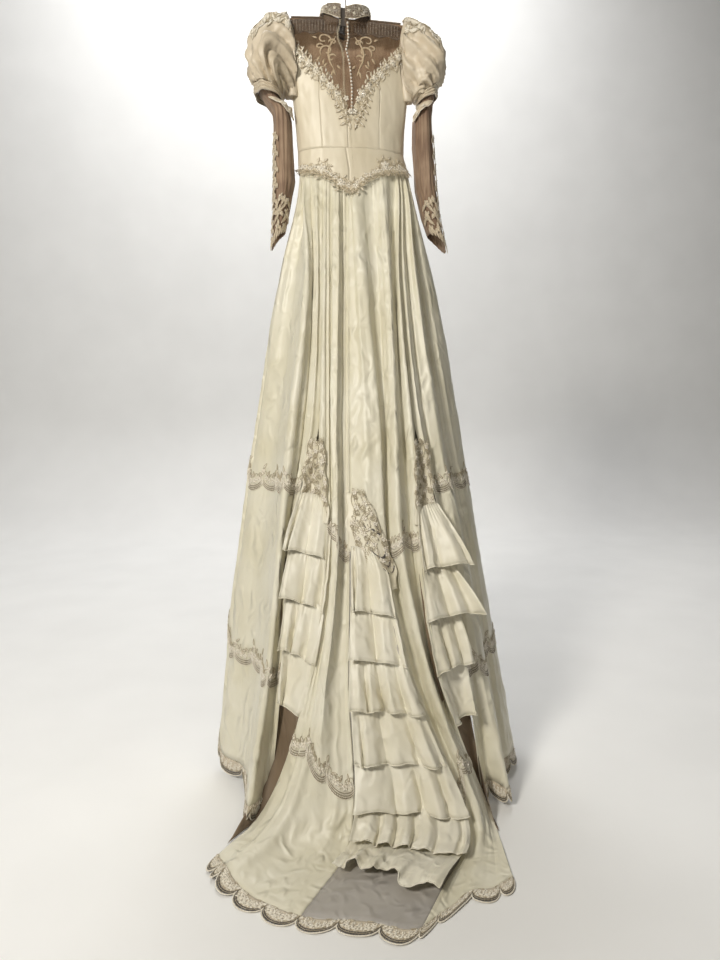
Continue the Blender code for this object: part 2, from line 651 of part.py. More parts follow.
# ---------------------------------------------------------------- skirt
def outline_at(z):
    """Centre and half width of the skirt at a height."""
    left = [(lvl, FOLDS["A1"][i]) for i, lvl in enumerate(FOLD_LEVELS)] + [(FLOOR, FOLDS["A1"][5])]
    right = [(lvl, FOLDS["D6"][i]) for i, lvl in enumerate(FOLD_LEVELS)] + [(FLOOR, FOLDS["D6"][5])]
    x0, x1 = table(left, z, 1), table(right, z, 1)
    return (x0 + x1) / 2, (x1 - x0) / 2


def side_y(z, right):
    """How far back the widest point of each side has swung."""
    fall = max(0.0, (FOLD_LEVELS[0] - z) / 1.70)
    return -(0.10 if right else 0.16) * fall ** 1.5


def back_y(x, z):
    """The back of the skirt without its folds: it leans back towards the train."""
    fall = max(0.0, (FOLD_LEVELS[0] - z) / 1.70)
    centre, half = outline_at(z)
    across = (x - centre) / half
    middle = -0.080 - 0.530 * fall ** 1.2
    edge = side_y(z, across > 0)
    return mix(middle, edge, min(1.0, abs(across)) ** 3)


def smooth_path(points, steps=8):
    """A smooth path through a few points, as many short straight runs, kept off the floor."""
    pts = [np.array(p, dtype=float) for p in points]
    pts = [2 * pts[0] - pts[1]] + pts + [2 * pts[-1] - pts[-2]]
    path = []
    for i in range(1, len(pts) - 2):
        p0, p1, p2, p3 = pts[i - 1:i + 3]
        d0, d1, d2 = (max(np.linalg.norm(b - a), 1e-6) for a, b in ((p0, p1), (p1, p2), (p2, p3)))
        m1 = ((p1 - p0) / d0 * d1 + (p2 - p1) / d1 * d0) / (d0 + d1)
        m2 = ((p2 - p1) / d1 * d2 + (p3 - p2) / d2 * d1) / (d1 + d2)
        for k in range(steps):
            f = k / steps
            path.append((2 * f ** 3 - 3 * f * f + 1) * p1 + (f ** 3 - 2 * f * f + f) * d1 * m1
                        + (3 * f * f - 2 * f ** 3) * p2 + (f ** 3 - f * f) * d1 * m2)
    path.append(pts[-2])
    path = np.array(path)
    path[:, 2] = np.maximum(path[:, 2], FLOOR + SATIN)
    return path


def back_line(name):
    """The path of one lengthwise fold of the back, from the basque to the hem."""
    row = FOLDS[name]
    stand, lift = row[9], row[10]
    points = []
    for i, z in enumerate(FOLD_LEVELS):
        x = row[i]
        if i == 0:
            points.append(body_point(x, basque_z(x) + TUCK_LAP, -1.0, -TUCK))
            points.append(body_point(x, basque_z(x) - 0.012, -1.0, -TUCK + 0.001 + 0.15 * stand))
            continue
        points.append((x, back_y(x, z) - stand * STAND_SCALE[i], z))
    low = FLOOR + SATIN
    if row[7] is None:
        points.append((row[5], row[6] - stand * STAND_SCALE[5], low + 0.003 + lift))
    else:
        points.append((row[5], row[6], low + lift))
        points.append((mix(row[5], row[7], 0.5), mix(row[6], row[8], 0.5), low + lift * 0.7))
        points.append((row[7], row[8], low + lift * 0.25))
    return smooth_path(points)


def front_line(angle, index):
    """The path of one fold of the hidden front."""
    turn = math.radians(angle)
    hem = mix(FRONT_HEM_Z, SIDE_HEM_Z, (abs(angle) / 90.0) ** 1.5)
    stand = FRONT_STAND * (-1 if index % 2 else 1)
    first = bodice_x(0.97 * angle, -0.58)
    top = basque_z(first)
    points = [body_point(first, top + TUCK_LAP, 1.0, -TUCK),
              body_point(first, top - 0.012, 1.0, -TUCK + 0.001)]
    for down, scale in ((0.15, 0.5), (0.45, 1.0), (0.75, 1.2), (1.0, 1.3)):
        z = mix(top, hem, down)
        centre, half = outline_at(z)
        x = centre + half * 0.985 * math.sin(turn)
        ahead = 0.062 + 0.100 * max(0.0, (FOLD_LEVELS[0] - z) / 1.1)
        y = mix(ahead, side_y(z, angle > 0), abs(math.sin(turn)) ** 2.5)
        points.append((x + math.sin(turn) * stand * scale, y + math.cos(turn) * stand * scale, z))
    return smooth_path(points)


class Line:
    """A fold line read by t, its share of the way from waist to hem."""

    def __init__(self, path):
        steps = np.linalg.norm(np.diff(path, axis=0), axis=1)
        self.along = np.concatenate(([0.0], np.cumsum(steps)))
        self.length = self.along[-1]
        self.path = path

    def at(self, t):
        """The point at t, running on straight past the hem."""
        s = t * self.length
        if s > self.length:
            return self.path[-1] + unit(self.path[-1] - self.path[-2]) * (s - self.length)
        return np.array([np.interp(s, self.along, self.path[:, k]) for k in range(3)])


def make_lines():
    """All the fold lines of the skirt, by name."""
    lines = {name: Line(back_line(name)) for name in FOLDS}
    for i, angle in enumerate(FRONT_ANGLES):
        lines["F%d" % angle] = Line(front_line(angle, i))
    return lines


def opened(top, t):
    """0 where an insert's seam is closed and 1 where it has opened out."""
    return ease((t - top) / OPENING)


def edge_point(insert, which, t):
    """The edge of a panel beside an insert: the seam above the opening, its fold below it."""
    seam, left, right, top = INSERTS[insert][:4]
    return mix(LINES[seam].at(t), LINES[left if which == "left" else right].at(t), opened(top, t))


def rolled_fold(name, t):
    """The fold nearest a panel's edge, which moves back from the edge where it has opened."""
    insert, behind, share = ROLLED[name]
    spread = share * opened(INSERTS[insert][3], t)
    return mix(LINES[name].at(t), LINES[behind].at(t), spread)


def insert_middle(insert, t):
    """The middle of an insert, sunk between the panels."""
    top, sink = INSERTS[insert][3], INSERTS[insert][5]
    middle = 0.5 * (edge_point(insert, "left", t) + edge_point(insert, "right", t))
    middle[1] += sink * ease((t - top - 0.03) / 0.16) * ease((middle[2] - FLOOR) / 0.10)
    middle[2] = max(middle[2], FLOOR + SATIN)
    return middle


# The fold next to each opening: its insert, the next fold back, and how far it moves to it.
ROLLED = {
    "A5": ("left", "A4", 0.50), "B1": ("left", "B2", 0.60), "C1": ("centre", "C2", 0.35),
    "C5": ("right", "C4", 0.50), "D1": ("right", "D2", 0.45),
}
RING = ["F-41", "F-55", "F-75", "A1", "A2", "A3", "A4", "A5", "left:left", "left:mid", "left:right",
        "B1", "B2", "B3", "B4", "centre:left", "centre:mid", "centre:right",
        "C1", "C2", "C3", "C4", "C5", "right:left", "right:mid", "right:right",
        "D1", "D2", "D3", "D4", "D5", "D6", "F75", "F55", "F41", "F27", "F13", "F0",
        "F-13", "F-27"]


def ring_point(name, t):
    """A named line of the ring round the skirt, at t."""
    if name in ROLLED:
        return rolled_fold(name, t)
    if ":" not in name:
        return LINES[name].at(t)
    insert, which = name.split(":")
    if which == "mid":
        return insert_middle(insert, t)
    return edge_point(insert, which, t)


RING_CACHE = {}


def ring_at(t):
    """Every point of the ring at t, and the direction of the ring through each."""
    key = round(t, 7)
    if key in RING_CACHE:
        return RING_CACHE[key]
    points = [ring_point(name, t) for name in RING]
    count = len(points)
    heads = []
    for i, point in enumerate(points):
        before, after = i - 1, i + 1
        while np.linalg.norm(points[before % count] - point) < 0.003:
            before -= 1
        while np.linalg.norm(points[after % count] - point) < 0.003:
            after += 1
        back = point - points[before % count]
        ahead = points[after % count] - point
        d0, d1 = np.linalg.norm(back), np.linalg.norm(ahead)
        heads.append((back / d0 * d1 + ahead / d1 * d0) / (d0 + d1))
    RING_CACHE[key] = (points, heads)
    return RING_CACHE[key]


def across(first, last, u, t, gaps=(0.0, 0.0)):
    """The skirt's outer surface between two lines of the ring, for u from 0 to 1."""
    points, heads = ring_at(t)
    count = len(RING)
    start = RING.index(first)
    spans = (RING.index(last) - start) % count
    spot = min(max(u, 0.0), 1.0) * spans
    i = min(int(spot), spans - 1)
    f = spot - i
    a, b = (start + i) % count, (start + i + 1) % count
    chord = np.linalg.norm(points[b] - points[a])
    point = ((2 * f ** 3 - 3 * f * f + 1) * points[a] + (f ** 3 - 2 * f * f + f) * chord * heads[a]
             + (3 * f * f - 2 * f ** 3) * points[b] + (f ** 3 - f * f) * chord * heads[b])
    if u < 1e-4:
        point = point + unit(heads[a]) * gaps[0]
    if u > 1.0 - 1e-4:
        point = point - unit(heads[b]) * gaps[1]
    point[2] = max(point[2], FLOOR + SATIN)
    return point


def outward(first, last, u, t):
    """The direction out of the skirt's surface."""
    du, dt = 0.02, 0.01
    right = across(first, last, min(1, u + du), t) - across(first, last, max(0, u - du), t)
    down = across(first, last, u, min(1, t + dt)) - across(first, last, u, max(0, t - dt))
    return unit(np.cross(down, right))


PANELS = {
    # name: first line, last line, columns for each fold, direction out, scallops, cells in each
    "front": ("F55", "F-55", 1, (0, 1, 0), 8, 4),
    "side_left": ("F-55", "left:left", 2, (-1, -1, 0), 7, 4),
    "back_left": ("left:right", "centre:left", 2, (0, -1, 0.3), 5, 4),
    "centre": ("centre:left", "centre:right", 2, (0, -1, 0.3), 3, 4),
    "back_right": ("centre:right", "right:left", 2, (0, -1, 0.3), 4, 6),
    "side_right": ("right:right", "F55", 2, (1, -1, 0), 8, 4),
}
PANEL_GAPS = {"centre": (0.0016, 0.0060)}
SIDE_ROWS = (0.0, 0.008, 0.10, 0.20, 0.30, 0.40, 0.50, 0.60, 0.70, 0.80, 0.90, 1.0)
BACK_ROWS = (0.0, 0.008, 0.10, 0.20, 0.30, 0.40, 0.50, 0.60, 0.69, 0.76, 0.82, 0.87, 0.91, 0.95, 1.0)
ROWS = {"front": SIDE_ROWS, "side_left": SIDE_ROWS, "side_right": SIDE_ROWS,
        "back_left": BACK_ROWS, "back_right": BACK_ROWS, "centre": (0.485,) + BACK_ROWS[6:]}


def panel_columns(panel):
    """How many columns a panel has, and its first and last line."""
    first, last, per_fold = PANELS[panel][:3]
    return (RING.index(last) - RING.index(first)) % len(RING) * per_fold, first, last


def panel_point(panel, u, t):
    """A panel's faceted surface: straight between its columns."""
    columns, first, last = panel_columns(panel)
    spot = min(max(u, 0.0), 1.0) * columns
    i = min(int(spot + 1e-6), columns - 1)
    a = across(first, last, i / columns, t, PANEL_GAPS.get(panel, (SEAM, SEAM)))
    b = across(first, last, (i + 1) / columns, t, PANEL_GAPS.get(panel, (SEAM, SEAM)))
    point = mix(a, b, min(1.0, max(0.0, spot - i)))
    if panel == "centre":
        point[1] += TUCK * ease((u - 0.6) / 0.4)
    return point


def row_t(panel, u, share):
    """t at a share of the way down a panel; above the openings it is the same for them all."""
    return share - (1.0 - panel_hem(u, panel)) * max(0.0, 2.0 * share - 1.0)


def panel_hem(u, panel):
    """t at a panel's hem, above the edging."""
    columns, first, last = panel_columns(panel)
    spot = u * columns
    i = min(int(spot + 1e-6), columns - 1)
    ends = [1.0 - HEM_LACE / ring_length(first, last, k / columns) for k in (i, i + 1)]
    return mix(ends[0], ends[1], spot - i)


def ring_length(first, last, u):
    """Length from waist to hem at u, read from the nearest lines."""
    start = RING.index(first)
    spans = (RING.index(last) - start) % len(RING)
    spot = u * spans
    i = min(int(spot), spans - 1)
    sizes = []
    for k in (start + i, start + i + 1):
        name = RING[k % len(RING)]
        if ":" in name:
            insert, which = name.split(":")
            seam, left, right = INSERTS[insert][:3]
            name = {"left": left, "mid": seam, "right": right}[which]
        sizes.append(LINES[name].length)
    return mix(sizes[0], sizes[1], spot - i)


def make_skirt():
    """The outer panels of the skirt."""
    for panel, (_, _, _, out, _, _) in PANELS.items():
        if panel == "centre":
            continue
        rows = ROWS[panel]

        def point(u, v, n=panel, share=rows):
            return panel_point(n, u, row_t(n, u, share[round((1.0 - v) * (len(share) - 1))]))
        sheet("skirt_" + panel, "satin", SATIN, panel_columns(panel)[0], len(rows) - 1, point, out)


def insert_section(insert, u, t):
    """A side insert at t: it sags inwards between its two edges."""
    left, right = edge_point(insert, "left", t), edge_point(insert, "right", t)
    wide = np.linalg.norm(right - left)
    gap = min(0.012, 0.25 * wide) / max(wide, 1e-6)
    sag = min(INSERTS[insert][5], 0.45 * wide)
    return mix(left, right, mix(gap, 1.0 - gap, u)) + np.array((0.0, 4.0 * sag * u * (1.0 - u), 0.0))


def make_inserts():
    """The cloth behind the ruffles, sunk between the panels."""
    rows = ROWS["centre"]

    def centre(u, v):
        return panel_point("centre", u, row_t("centre", u, rows[round((1.0 - v) * (len(rows) - 1))]))
    sheet("insert_centre", "satin", SATIN, panel_columns("centre")[0], len(rows) - 1, centre,
          (0, -1, 0.3))

    for name in ("left", "right"):
        top, reach = INSERTS[name][3:5]

        def point(u, v, n=name, s=top + 0.045, e=reach):
            t = mix(s, e, 1.0 - v)
            return insert_section(n, u, t) + np.array((0.0, TUCK + 0.003, 0.0))
        sheet("insert_" + name, "satin", SATIN, 4, 8, point, (0, -1, 0.3))


def insert_facet(u, t):
    """The faceted centre insert at t, straight between its rows."""
    rows = ROWS["centre"]
    levels = [row_t("centre", u, row) for row in rows]
    i = max(k for k, level in enumerate(levels[:-1]) if level <= t)
    share = (t - levels[i]) / (levels[i + 1] - levels[i])
    return mix(panel_point("centre", u, levels[i]), panel_point("centre", u, levels[i + 1]), share)


def ruffle_point(insert, tier, u, s):
    """A ruffle: s runs from its gathered top to its hem."""
    top, hem, waves, stand_left, stand_right, flare_left, flare_right = RUFFLES[insert][tier]
    t = mix(top, hem + 0.006 * (u - 0.5), s)
    first, last = insert + ":left", insert + ":right"
    inset = 0.10 if insert == "right" else 0.06
    place = mix(inset, 1.0 - inset, u)
    sunk = insert_facet(place, t) if insert == "centre" else insert_section(insert, place, t)
    taut = mix(across(first, last, inset, t), across(first, last, 1.0 - inset, t), u)
    base = mix(sunk, taut, TAUT)
    out = outward(first, last, 0.5, 0.5 * (top + hem))
    out = unit(np.array((0.35 * out[0], out[1], out[2])))
    stand = mix(stand_left, stand_right, u)
    swing = 2 * math.pi * waves * u + 1.7 * tier + 0.8 * math.sin(4.0 * u + 2.0 * tier)
    wave = mix(0.22, 0.36, 0.5 + 0.5 * math.sin(3.0 * tier + 5.0 * u)) * stand * math.sin(swing)
    off = RUFFLE_LIFT + (stand + wave * s) * math.sin(0.5 * math.pi * s) ** 1.1
    aside = flare_right * s * u ** 2 - flare_left * s * (1.0 - u) ** 2 + 0.0015 * s * math.cos(swing)
    drop = 0.25 * wave * s * s
    point = base + out * off + np.array((aside, -0.2 * flare_right * s * u ** 2, -drop))
    point[2] = max(point[2], FLOOR + SATIN * 2 + 0.002)
    return point


def make_ruffles():
    """Tiers of gathered ruffles on each insert."""
    for insert, tiers in RUFFLES.items():
        for tier, row in enumerate(tiers):
            waves = row[2]
            sheet("ruffle_%s_%d" % (insert, tier + 1), "satin", RUFFLE, waves * 4, 3,
                  lambda u, v, n=insert, k=tier: ruffle_point(n, k, u, 1.0 - v), (0, -1, 0.3))


def ring_share(first, last, share, t):
    """The faceted skirt a share of the way round from one line to another, between two rows."""
    below = next(i for i, row in enumerate(BACK_ROWS) if row > t)
    found = []
    for row in BACK_ROWS[below - 1:below + 1]:
        spans = (RING.index(last) - RING.index(first)) % len(RING)
        run = [across(first, last, k / (2.0 * spans), row) for k in range(2 * spans + 1)]
        steps = [np.linalg.norm(b - a) for a, b in zip(run, run[1:])]
        along = np.concatenate(([0.0], np.cumsum(steps)))
        found.append(np.array([np.interp(share * along[-1], along, [p[k] for p in run])
                               for k in range(3)]))
    return mix(*found, (t - BACK_ROWS[below - 1]) / (BACK_ROWS[below] - BACK_ROWS[below - 1]))


def make_motifs():
    """A tapering lace motif over the top of each insert, taut from fold to fold."""
    for name, (first, last, start, end, left_top, right_top, left_end, right_end) in MOTIFS.items():
        def point(u, v, a=first, b=last, s=start, e=end,
                  tops=(left_top, right_top), ends=(left_end, right_end)):
            down = 1.0 - v
            wave = 0.03 * math.sin(down * 14.0)
            left = mix(tops[0], ends[0], down ** 0.8) + wave
            right = mix(tops[1], ends[1], down ** 0.8) - wave
            t = mix(s, e, down - 0.08 * abs(2 * u - 1) * down)
            taut = mix(ring_share(a, b, max(0.0, left), t), ring_share(a, b, min(1.0, right), t), u)
            return taut + MOTIF_LIFT * np.array((0.0, -0.97, 0.24))
        sheet("motif_" + name, "lace", LACE, 6, 5, point, (0, -1, 0.3))


def make_hem_lace():
    """Scalloped lace edging with an open arc in every scallop."""
    for panel, (_, _, _, out, scallops, per) in PANELS.items():
        def point(u, v, n=scallops, p=panel):
            hem = panel_hem(u, p)
            f = (u * n) % 1.0 if u < 0.9999 else 1.0
            round_edge = math.sqrt(max(0.0, 1.0 - (2 * f - 1) ** 2))
            depth = mix(JOINT_LACE, HEM_LACE, round_edge)
            drops = (HEM_SEAM["side" in p], depth - CORD - SLOT, depth - CORD, depth)
            return panel_point(p, u, mix(hem, 1.0, drops[round(3 * (1.0 - v))] / HEM_LACE))

        def slot(column, row, cells=per):
            return row == 1 and 0 < column % cells < cells - 1
        cut = None if panel == "front" else slot
        sheet("hem_lace_" + panel, "lace", LACE, scallops * per, 3, point, out, holes=cut)


# ---------------------------------------------------------------- hanger
def tube(name, kind, points, radius, resolution=2):
    """A round bar along a path."""
    curve = bpy.data.curves.new(name, "CURVE")
    curve.dimensions = "3D"
    curve.bevel_depth = radius
    curve.bevel_resolution = resolution
    curve.use_fill_caps = True
    spline = curve.splines.new("POLY")
    spline.points.add(len(points) - 1)
    for spot, point in zip(spline.points, points):
        spot.co = (*point, 1.0)
    obj = bpy.data.objects.new(name, curve)
    PARTS.objects.link(obj)
    curve.materials.append(material(kind, name))
    return obj


def make_hanger():
    """Padded bar and wire hook."""
    bar = []
    for i in range(15):
        x = mix(-HANGER_HALF_LENGTH, HANGER_HALF_LENGTH, i / 14)
        bar.append((x, 0.0, HANGER_Z - HANGER_DROOP * (x / HANGER_HALF_LENGTH) ** 2))
    tube("hanger_bar", "hanger", bar, HANGER_RADIUS, 3)

    wire = HOOK_RADIUS + HOOK_WIRE
    hook = [(0.0, 0.0, HANGER_Z + HANGER_RADIUS + 2 * SEAM), (0.0, 0.0, HOOK_NECK_Z),
            (HOOK_BEND[0], 0.0, HOOK_BEND[1])]
    for i in range(13):
        turn = math.radians(mix(*HOOK_TURNS, i / 12))
        hook.append((wire * math.cos(turn), 0.0, -HOOK_RADIUS + wire * math.sin(turn)))
    tube("hanger_hook", "wire", hook, HOOK_WIRE)


# ---------------------------------------------------------------- build
clear_scene()
PARTS = make_collection("wedding_dress")
LINES = make_lines()
make_hanger()
make_collar()
make_yokes()
make_bodice()
make_button_stand()
make_body_lace()
make_puffs()
make_sleeves()
make_skirt()
make_inserts()
make_ruffles()
make_motifs()
make_hem_lace()
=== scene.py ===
"""Wedding dress on a hanger: cloth, lace, net, pearls and light.

Every cloth surface is worked out here as a Patch, a grid of points over the solid that it stands
for, and whatever is sewn on it is placed on the same patch.  Lengths are in metres.
"""
import copy
import math

import bpy
import numpy as np
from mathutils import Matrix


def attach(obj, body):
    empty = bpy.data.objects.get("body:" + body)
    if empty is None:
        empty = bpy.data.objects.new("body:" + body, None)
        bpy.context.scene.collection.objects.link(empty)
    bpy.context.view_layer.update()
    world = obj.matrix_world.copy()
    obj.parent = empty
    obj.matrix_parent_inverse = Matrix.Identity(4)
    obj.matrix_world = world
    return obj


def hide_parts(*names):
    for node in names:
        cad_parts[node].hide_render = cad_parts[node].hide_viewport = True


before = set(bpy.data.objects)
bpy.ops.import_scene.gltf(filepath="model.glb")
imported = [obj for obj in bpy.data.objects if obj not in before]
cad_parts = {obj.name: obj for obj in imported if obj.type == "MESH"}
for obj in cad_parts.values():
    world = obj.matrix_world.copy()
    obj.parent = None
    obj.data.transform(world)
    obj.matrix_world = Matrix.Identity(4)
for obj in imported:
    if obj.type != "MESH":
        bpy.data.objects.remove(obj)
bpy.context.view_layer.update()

# ---------------------------------------------------------------- sizes
FLOOR = -2.300
SHOULDER_Z = -0.1345
WAIST_Z = -0.515
BASQUE_SIDE_Z = -0.570
BASQUE_DIP = 0.068
UNDERARM_Z = -0.360
FRONT_HEM_Z = -1.700
SIDE_HEM_Z = -2.285
CAD_SATIN = 0.0020        # wall of the satin solids, which the outer surfaces stand on

SATIN = 0.0009            # cloth thicknesses
RUFFLE = 0.0007
NET = 0.0005
LACE = 0.0005
LACE_LEAF = 0.0004        # petals and leaves
FACING = 0.0006           # facings, underlap, and the cover of the hanger
COLLAR_WALL = 0.0012
TUCK = 0.0045
TUCK_LAP = 0.004
HEM_LACE = 0.046          # the scalloped edging: depth, and depth where two scallops join
JOINT_LACE = 0.015
SLOT = 0.009              # its open arc
CORD = 0.004              # its outer cord
BAND_LACE = 0.030         # the lace rows on the skirt: depth, and depth at the joints
BAND_JOINT = 0.002
BAND_LEVELS = (0.53, 0.82)
BAND_SCALLOP = 0.092
SCALLOP_POINTS = 16       # columns of the edging's ground in a scallop
PLEAT_PITCH = 0.0135      # gathers under the waist
INSERT_LAP = 0.030        # how far a side insert runs behind the panels
INSERT_BACK = 0.006
RUFFLE_OFF = 0.0062       # a ruffle's seam over its insert
ROLLED_HEM = 0.0015
WAVE_FULLNESS = 1.3       # gathering beyond the folds that are modelled
TUCK_FULLNESS = 1.2
PEARL = 0.0062
PEARL_COUNT = 27
EDGE_ROWS = 8             # rows of a panel's grid in its edging
FINE_RISE = 0.0004        # how far a weave or a twist stands up in a material
SIDES = {"left": -1, "right": 1}

# ---------------------------------------------------------------- tables
BODY = [
    # z,     centre, half,   back,   front,  runout
    (-0.240, 0.004, 0.172, 0.050, 0.062, 0.50),
    (-0.360, 0.013, 0.168, 0.060, 0.078, 1.00),
    (-0.440, 0.013, 0.160, 0.066, 0.068, 1.00),
    (-0.515, 0.015, 0.156, 0.071, 0.060, 1.00),
    (-0.580, 0.026, 0.166, 0.076, 0.062, 1.00),
    (-0.640, 0.026, 0.170, 0.082, 0.066, 1.00),
]
SHOULDER_ROUND = [
    # drop,  out
    (0.000, 0.0008), (0.003, 0.0095), (0.008, 0.0145), (0.020, 0.0180),
    (0.050, 0.0260), (0.1055, 0.0500),
]
ARMHOLE = [(-0.134, 0.182), (-0.180, 0.168), (-0.240, 0.157), (-0.300, 0.155), (-0.360, 0.167)]
FOLD_LEVELS = (-0.60, -0.85, -1.34, -1.62, -1.90)
FOLDS = {
    # name: waist,  hip,   slit,   tier,   shin,   touch_x, touch_y, hem_x, hem_y, stand, lift
    "A1": (-.135, -.192, -.276, -.319, -.355, -.391, -.170, None, None, .000, .010),
    "A2": (-.130, -.150, -.212, -.239, -.266, -.322, -.285, None, None, -.032, .006),
    "A3": (-.121, -.116, -.166, -.200, -.228, -.292, -.438, None, None, .028, .004),
    "A4": (-.108, -.104, -.143, -.188, -.214, -.262, -.420, None, None, -.008, .004),
    "A5": (-.092, -.092, -.125, -.180, -.203, -.238, -.372, None, None, .008, .006),
    "S1": (-.076, -.079, -.101, -.136, -.172, -.232, -.360, None, None, -.010, .020),
    "B1": (-.064, -.071, -.083, -.088, -.134, -.290, -.480, -.385, -.604, .012, .012),
    "B2": (-.051, -.057, -.070, -.076, -.116, -.262, -.560, -.366, -.660, .005, .030),
    "B3": (-.030, -.036, -.056, -.062, -.094, -.200, -.592, -.330, -.718, .022, .006),
    "B4": (-.016, -.020, -.036, -.044, -.066, -.130, -.606, -.268, -.774, -.012, .000),
    "S2": (-.001, -.005, -.019, -.026, -.039, -.066, -.612, -.196, -.819, -.006, .000),
    "M2": (.002, .008, .012, .012, .030, .065, -.622, -.075, -.868, -.006, .000),
    "C1": (.012, .024, .053, .056, .100, .224, -.606, .050, -.880, .018, .010),
    "C2": (.064, .074, .084, .077, .132, .250, -.600, .118, -.832, -.014, .000),
    "C3": (.100, .108, .108, .110, .160, .274, -.596, .185, -.790, .022, .006),
    "C4": (.138, .126, .127, .140, .178, .300, -.575, .244, -.786, -.014, .000),
    "C5": (.146, .136, .150, .161, .188, .326, -.512, .300, -.760, .012, .004),
    "S3": (.151, .142, .169, .194, .232, .290, -.392, None, None, -.010, .020),
    "D1": (.157, .154, .188, .238, .272, .318, -.440, None, None, .008, .004),
    "D2": (.163, .168, .206, .258, .296, .345, -.418, None, None, -.012, .004),
    "D3": (.169, .186, .243, .292, .330, .385, -.440, None, None, .024, .004),
    "D4": (.175, .205, .270, .332, .376, .410, -.340, None, None, -.022, .006),
    "D5": (.181, .224, .300, .360, .404, .444, -.290, None, None, .012, .008),
    "D6": (.1865, .254, .344, .391, .438, .497, -.150, None, None, .000, .010),
}
STAND_SCALE = (0.20, 0.80, 1.10, 1.25, 1.30, 0.80, 0.40)
FRONT_ANGLES = (-75, -55, -41, -27, -13, 0, 13, 27, 41, 55, 75)
FRONT_STAND = 0.012
INSERTS = {
    # name:  seam, left,  right, top,  reach, sink
    "left": ("S1", "A5", "B1", 0.420, 0.850, 0.028),
    "centre": ("S2", "S2", "C1", 0.430, 1.000, 0.022),
    "right": ("S3", "C5", "D1", 0.420, 0.800, 0.028),
}
OPENING = 0.095
ROLLED = {
    # fold next to an opening: insert, next fold back, share of the way it moves to it
    "A5": ("left", "A4", 0.50), "B1": ("left", "B2", 0.60), "C1": ("centre", "C2", 0.35),
    "C5": ("right", "C4", 0.50), "D1": ("right", "D2", 0.45),
}
RING = ["F-41", "F-55", "F-75", "A1", "A2", "A3", "A4", "A5", "left:left", "left:mid", "left:right",
        "B1", "B2", "B3", "B4", "centre:left", "centre:mid", "centre:right",
        "C1", "C2", "C3", "C4", "C5", "right:left", "right:mid", "right:right",
        "D1", "D2", "D3", "D4", "D5", "D6", "F75", "F55", "F41", "F27", "F13", "F0",
        "F-13", "F-27"]
PANELS = {
    # name: first line, last line, top, columns for each fold, rows, out, scallops of the edging
    "front": ("F55", "F-55", 0.0, 6, 60, (0, 1, 0), 8),
    "side_left": ("F-55", "left:left", 0.0, 8, 95, (-1, -1, 0), 7),
    "back_left": ("left:right", "centre:left", 0.0, 11, 125, (0, -1, 0.3), 5),
    "back_right": ("centre:right", "right:left", 0.0, 10, 125, (0, -1, 0.3), 4),
    "side_right": ("right:right", "F55", 0.0, 8, 95, (1, -1, 0), 8),
    "centre": ("centre:left", "centre:right", 0.485, 12, 70, (0, -1, 0.3), 3),
}
MOTIFS = {
    "left": [
        # z,     left,  right
        (-1.328, -0.124, -0.086), (-1.417, -0.144, -0.084), (-1.510, -0.150, -0.080),
    ],
    "centre": [
        (-1.462, -0.016, 0.012), (-1.543, -0.022, 0.050), (-1.612, -0.018, 0.074),
        (-1.672, 0.030, 0.092),
    ],
    "right": [
        (-1.335, 0.158, 0.203), (-1.420, 0.150, 0.209), (-1.519, 0.149, 0.214),
    ],
}
RUFFLES = {
    "left": [
        # top,  hem,  waves, stand_left, stand_right, flare_left, flare_right
        (0.500, 0.582, 2, 0.026, 0.006, 0.014, 0.000),
        (0.577, 0.652, 2, 0.024, 0.006, 0.008, 0.000),
        (0.647, 0.722, 2, 0.022, 0.006, 0.004, 0.000),
        (0.717, 0.794, 1, 0.018, 0.006, 0.002, 0.000),
    ],
    "centre": [
        (0.497, 0.577, 2, 0.020, 0.014, 0.000, 0.000),
        (0.571, 0.637, 2, 0.024, 0.012, 0.000, 0.000),
        (0.630, 0.697, 3, 0.026, 0.012, 0.002, 0.000),
        (0.690, 0.760, 3, 0.028, 0.014, 0.004, 0.000),
        (0.752, 0.816, 3, 0.030, 0.020, 0.006, 0.000),
        (0.808, 0.862, 4, 0.030, 0.026, 0.006, 0.002),
        (0.853, 0.905, 4, 0.024, 0.024, 0.000, 0.000),
    ],
    "right": [
        (0.508, 0.592, 2, 0.006, 0.040, 0.000, 0.048),
        (0.586, 0.660, 2, 0.006, 0.042, 0.000, 0.052),
        (0.654, 0.728, 2, 0.006, 0.028, 0.000, 0.010),
        (0.722, 0.800, 1, 0.006, 0.018, 0.000, 0.000),
    ],
}
LAPS = {"left": (0.000, 0.020), "centre": (-0.003, 0.010), "right": (0.020, 0.000)}
PUFFS = {
    "left": [
        # out_x, out_z, in_x, in_z, depth, gather
        (-0.160, -0.142, -0.162, -0.364, 0.046, 0.000),
        (-0.206, -0.144, -0.168, -0.362, 0.060, 0.005),
        (-0.262, -0.195, -0.174, -0.357, 0.086, 0.008),
        (-0.277, -0.270, -0.177, -0.352, 0.084, 0.009),
        (-0.262, -0.328, -0.187, -0.353, 0.060, 0.004),
    ],
    "right": [
        (0.164, -0.142, 0.186, -0.364, 0.046, 0.000),
        (0.212, -0.141, 0.191, -0.360, 0.060, 0.005),
        (0.266, -0.186, 0.197, -0.353, 0.086, 0.008),
        (0.285, -0.256, 0.202, -0.346, 0.082, 0.009),
        (0.268, -0.314, 0.212, -0.346, 0.056, 0.004),
    ],
}
BAND_DEPTH = 0.031
BAND_TUCKS = 3
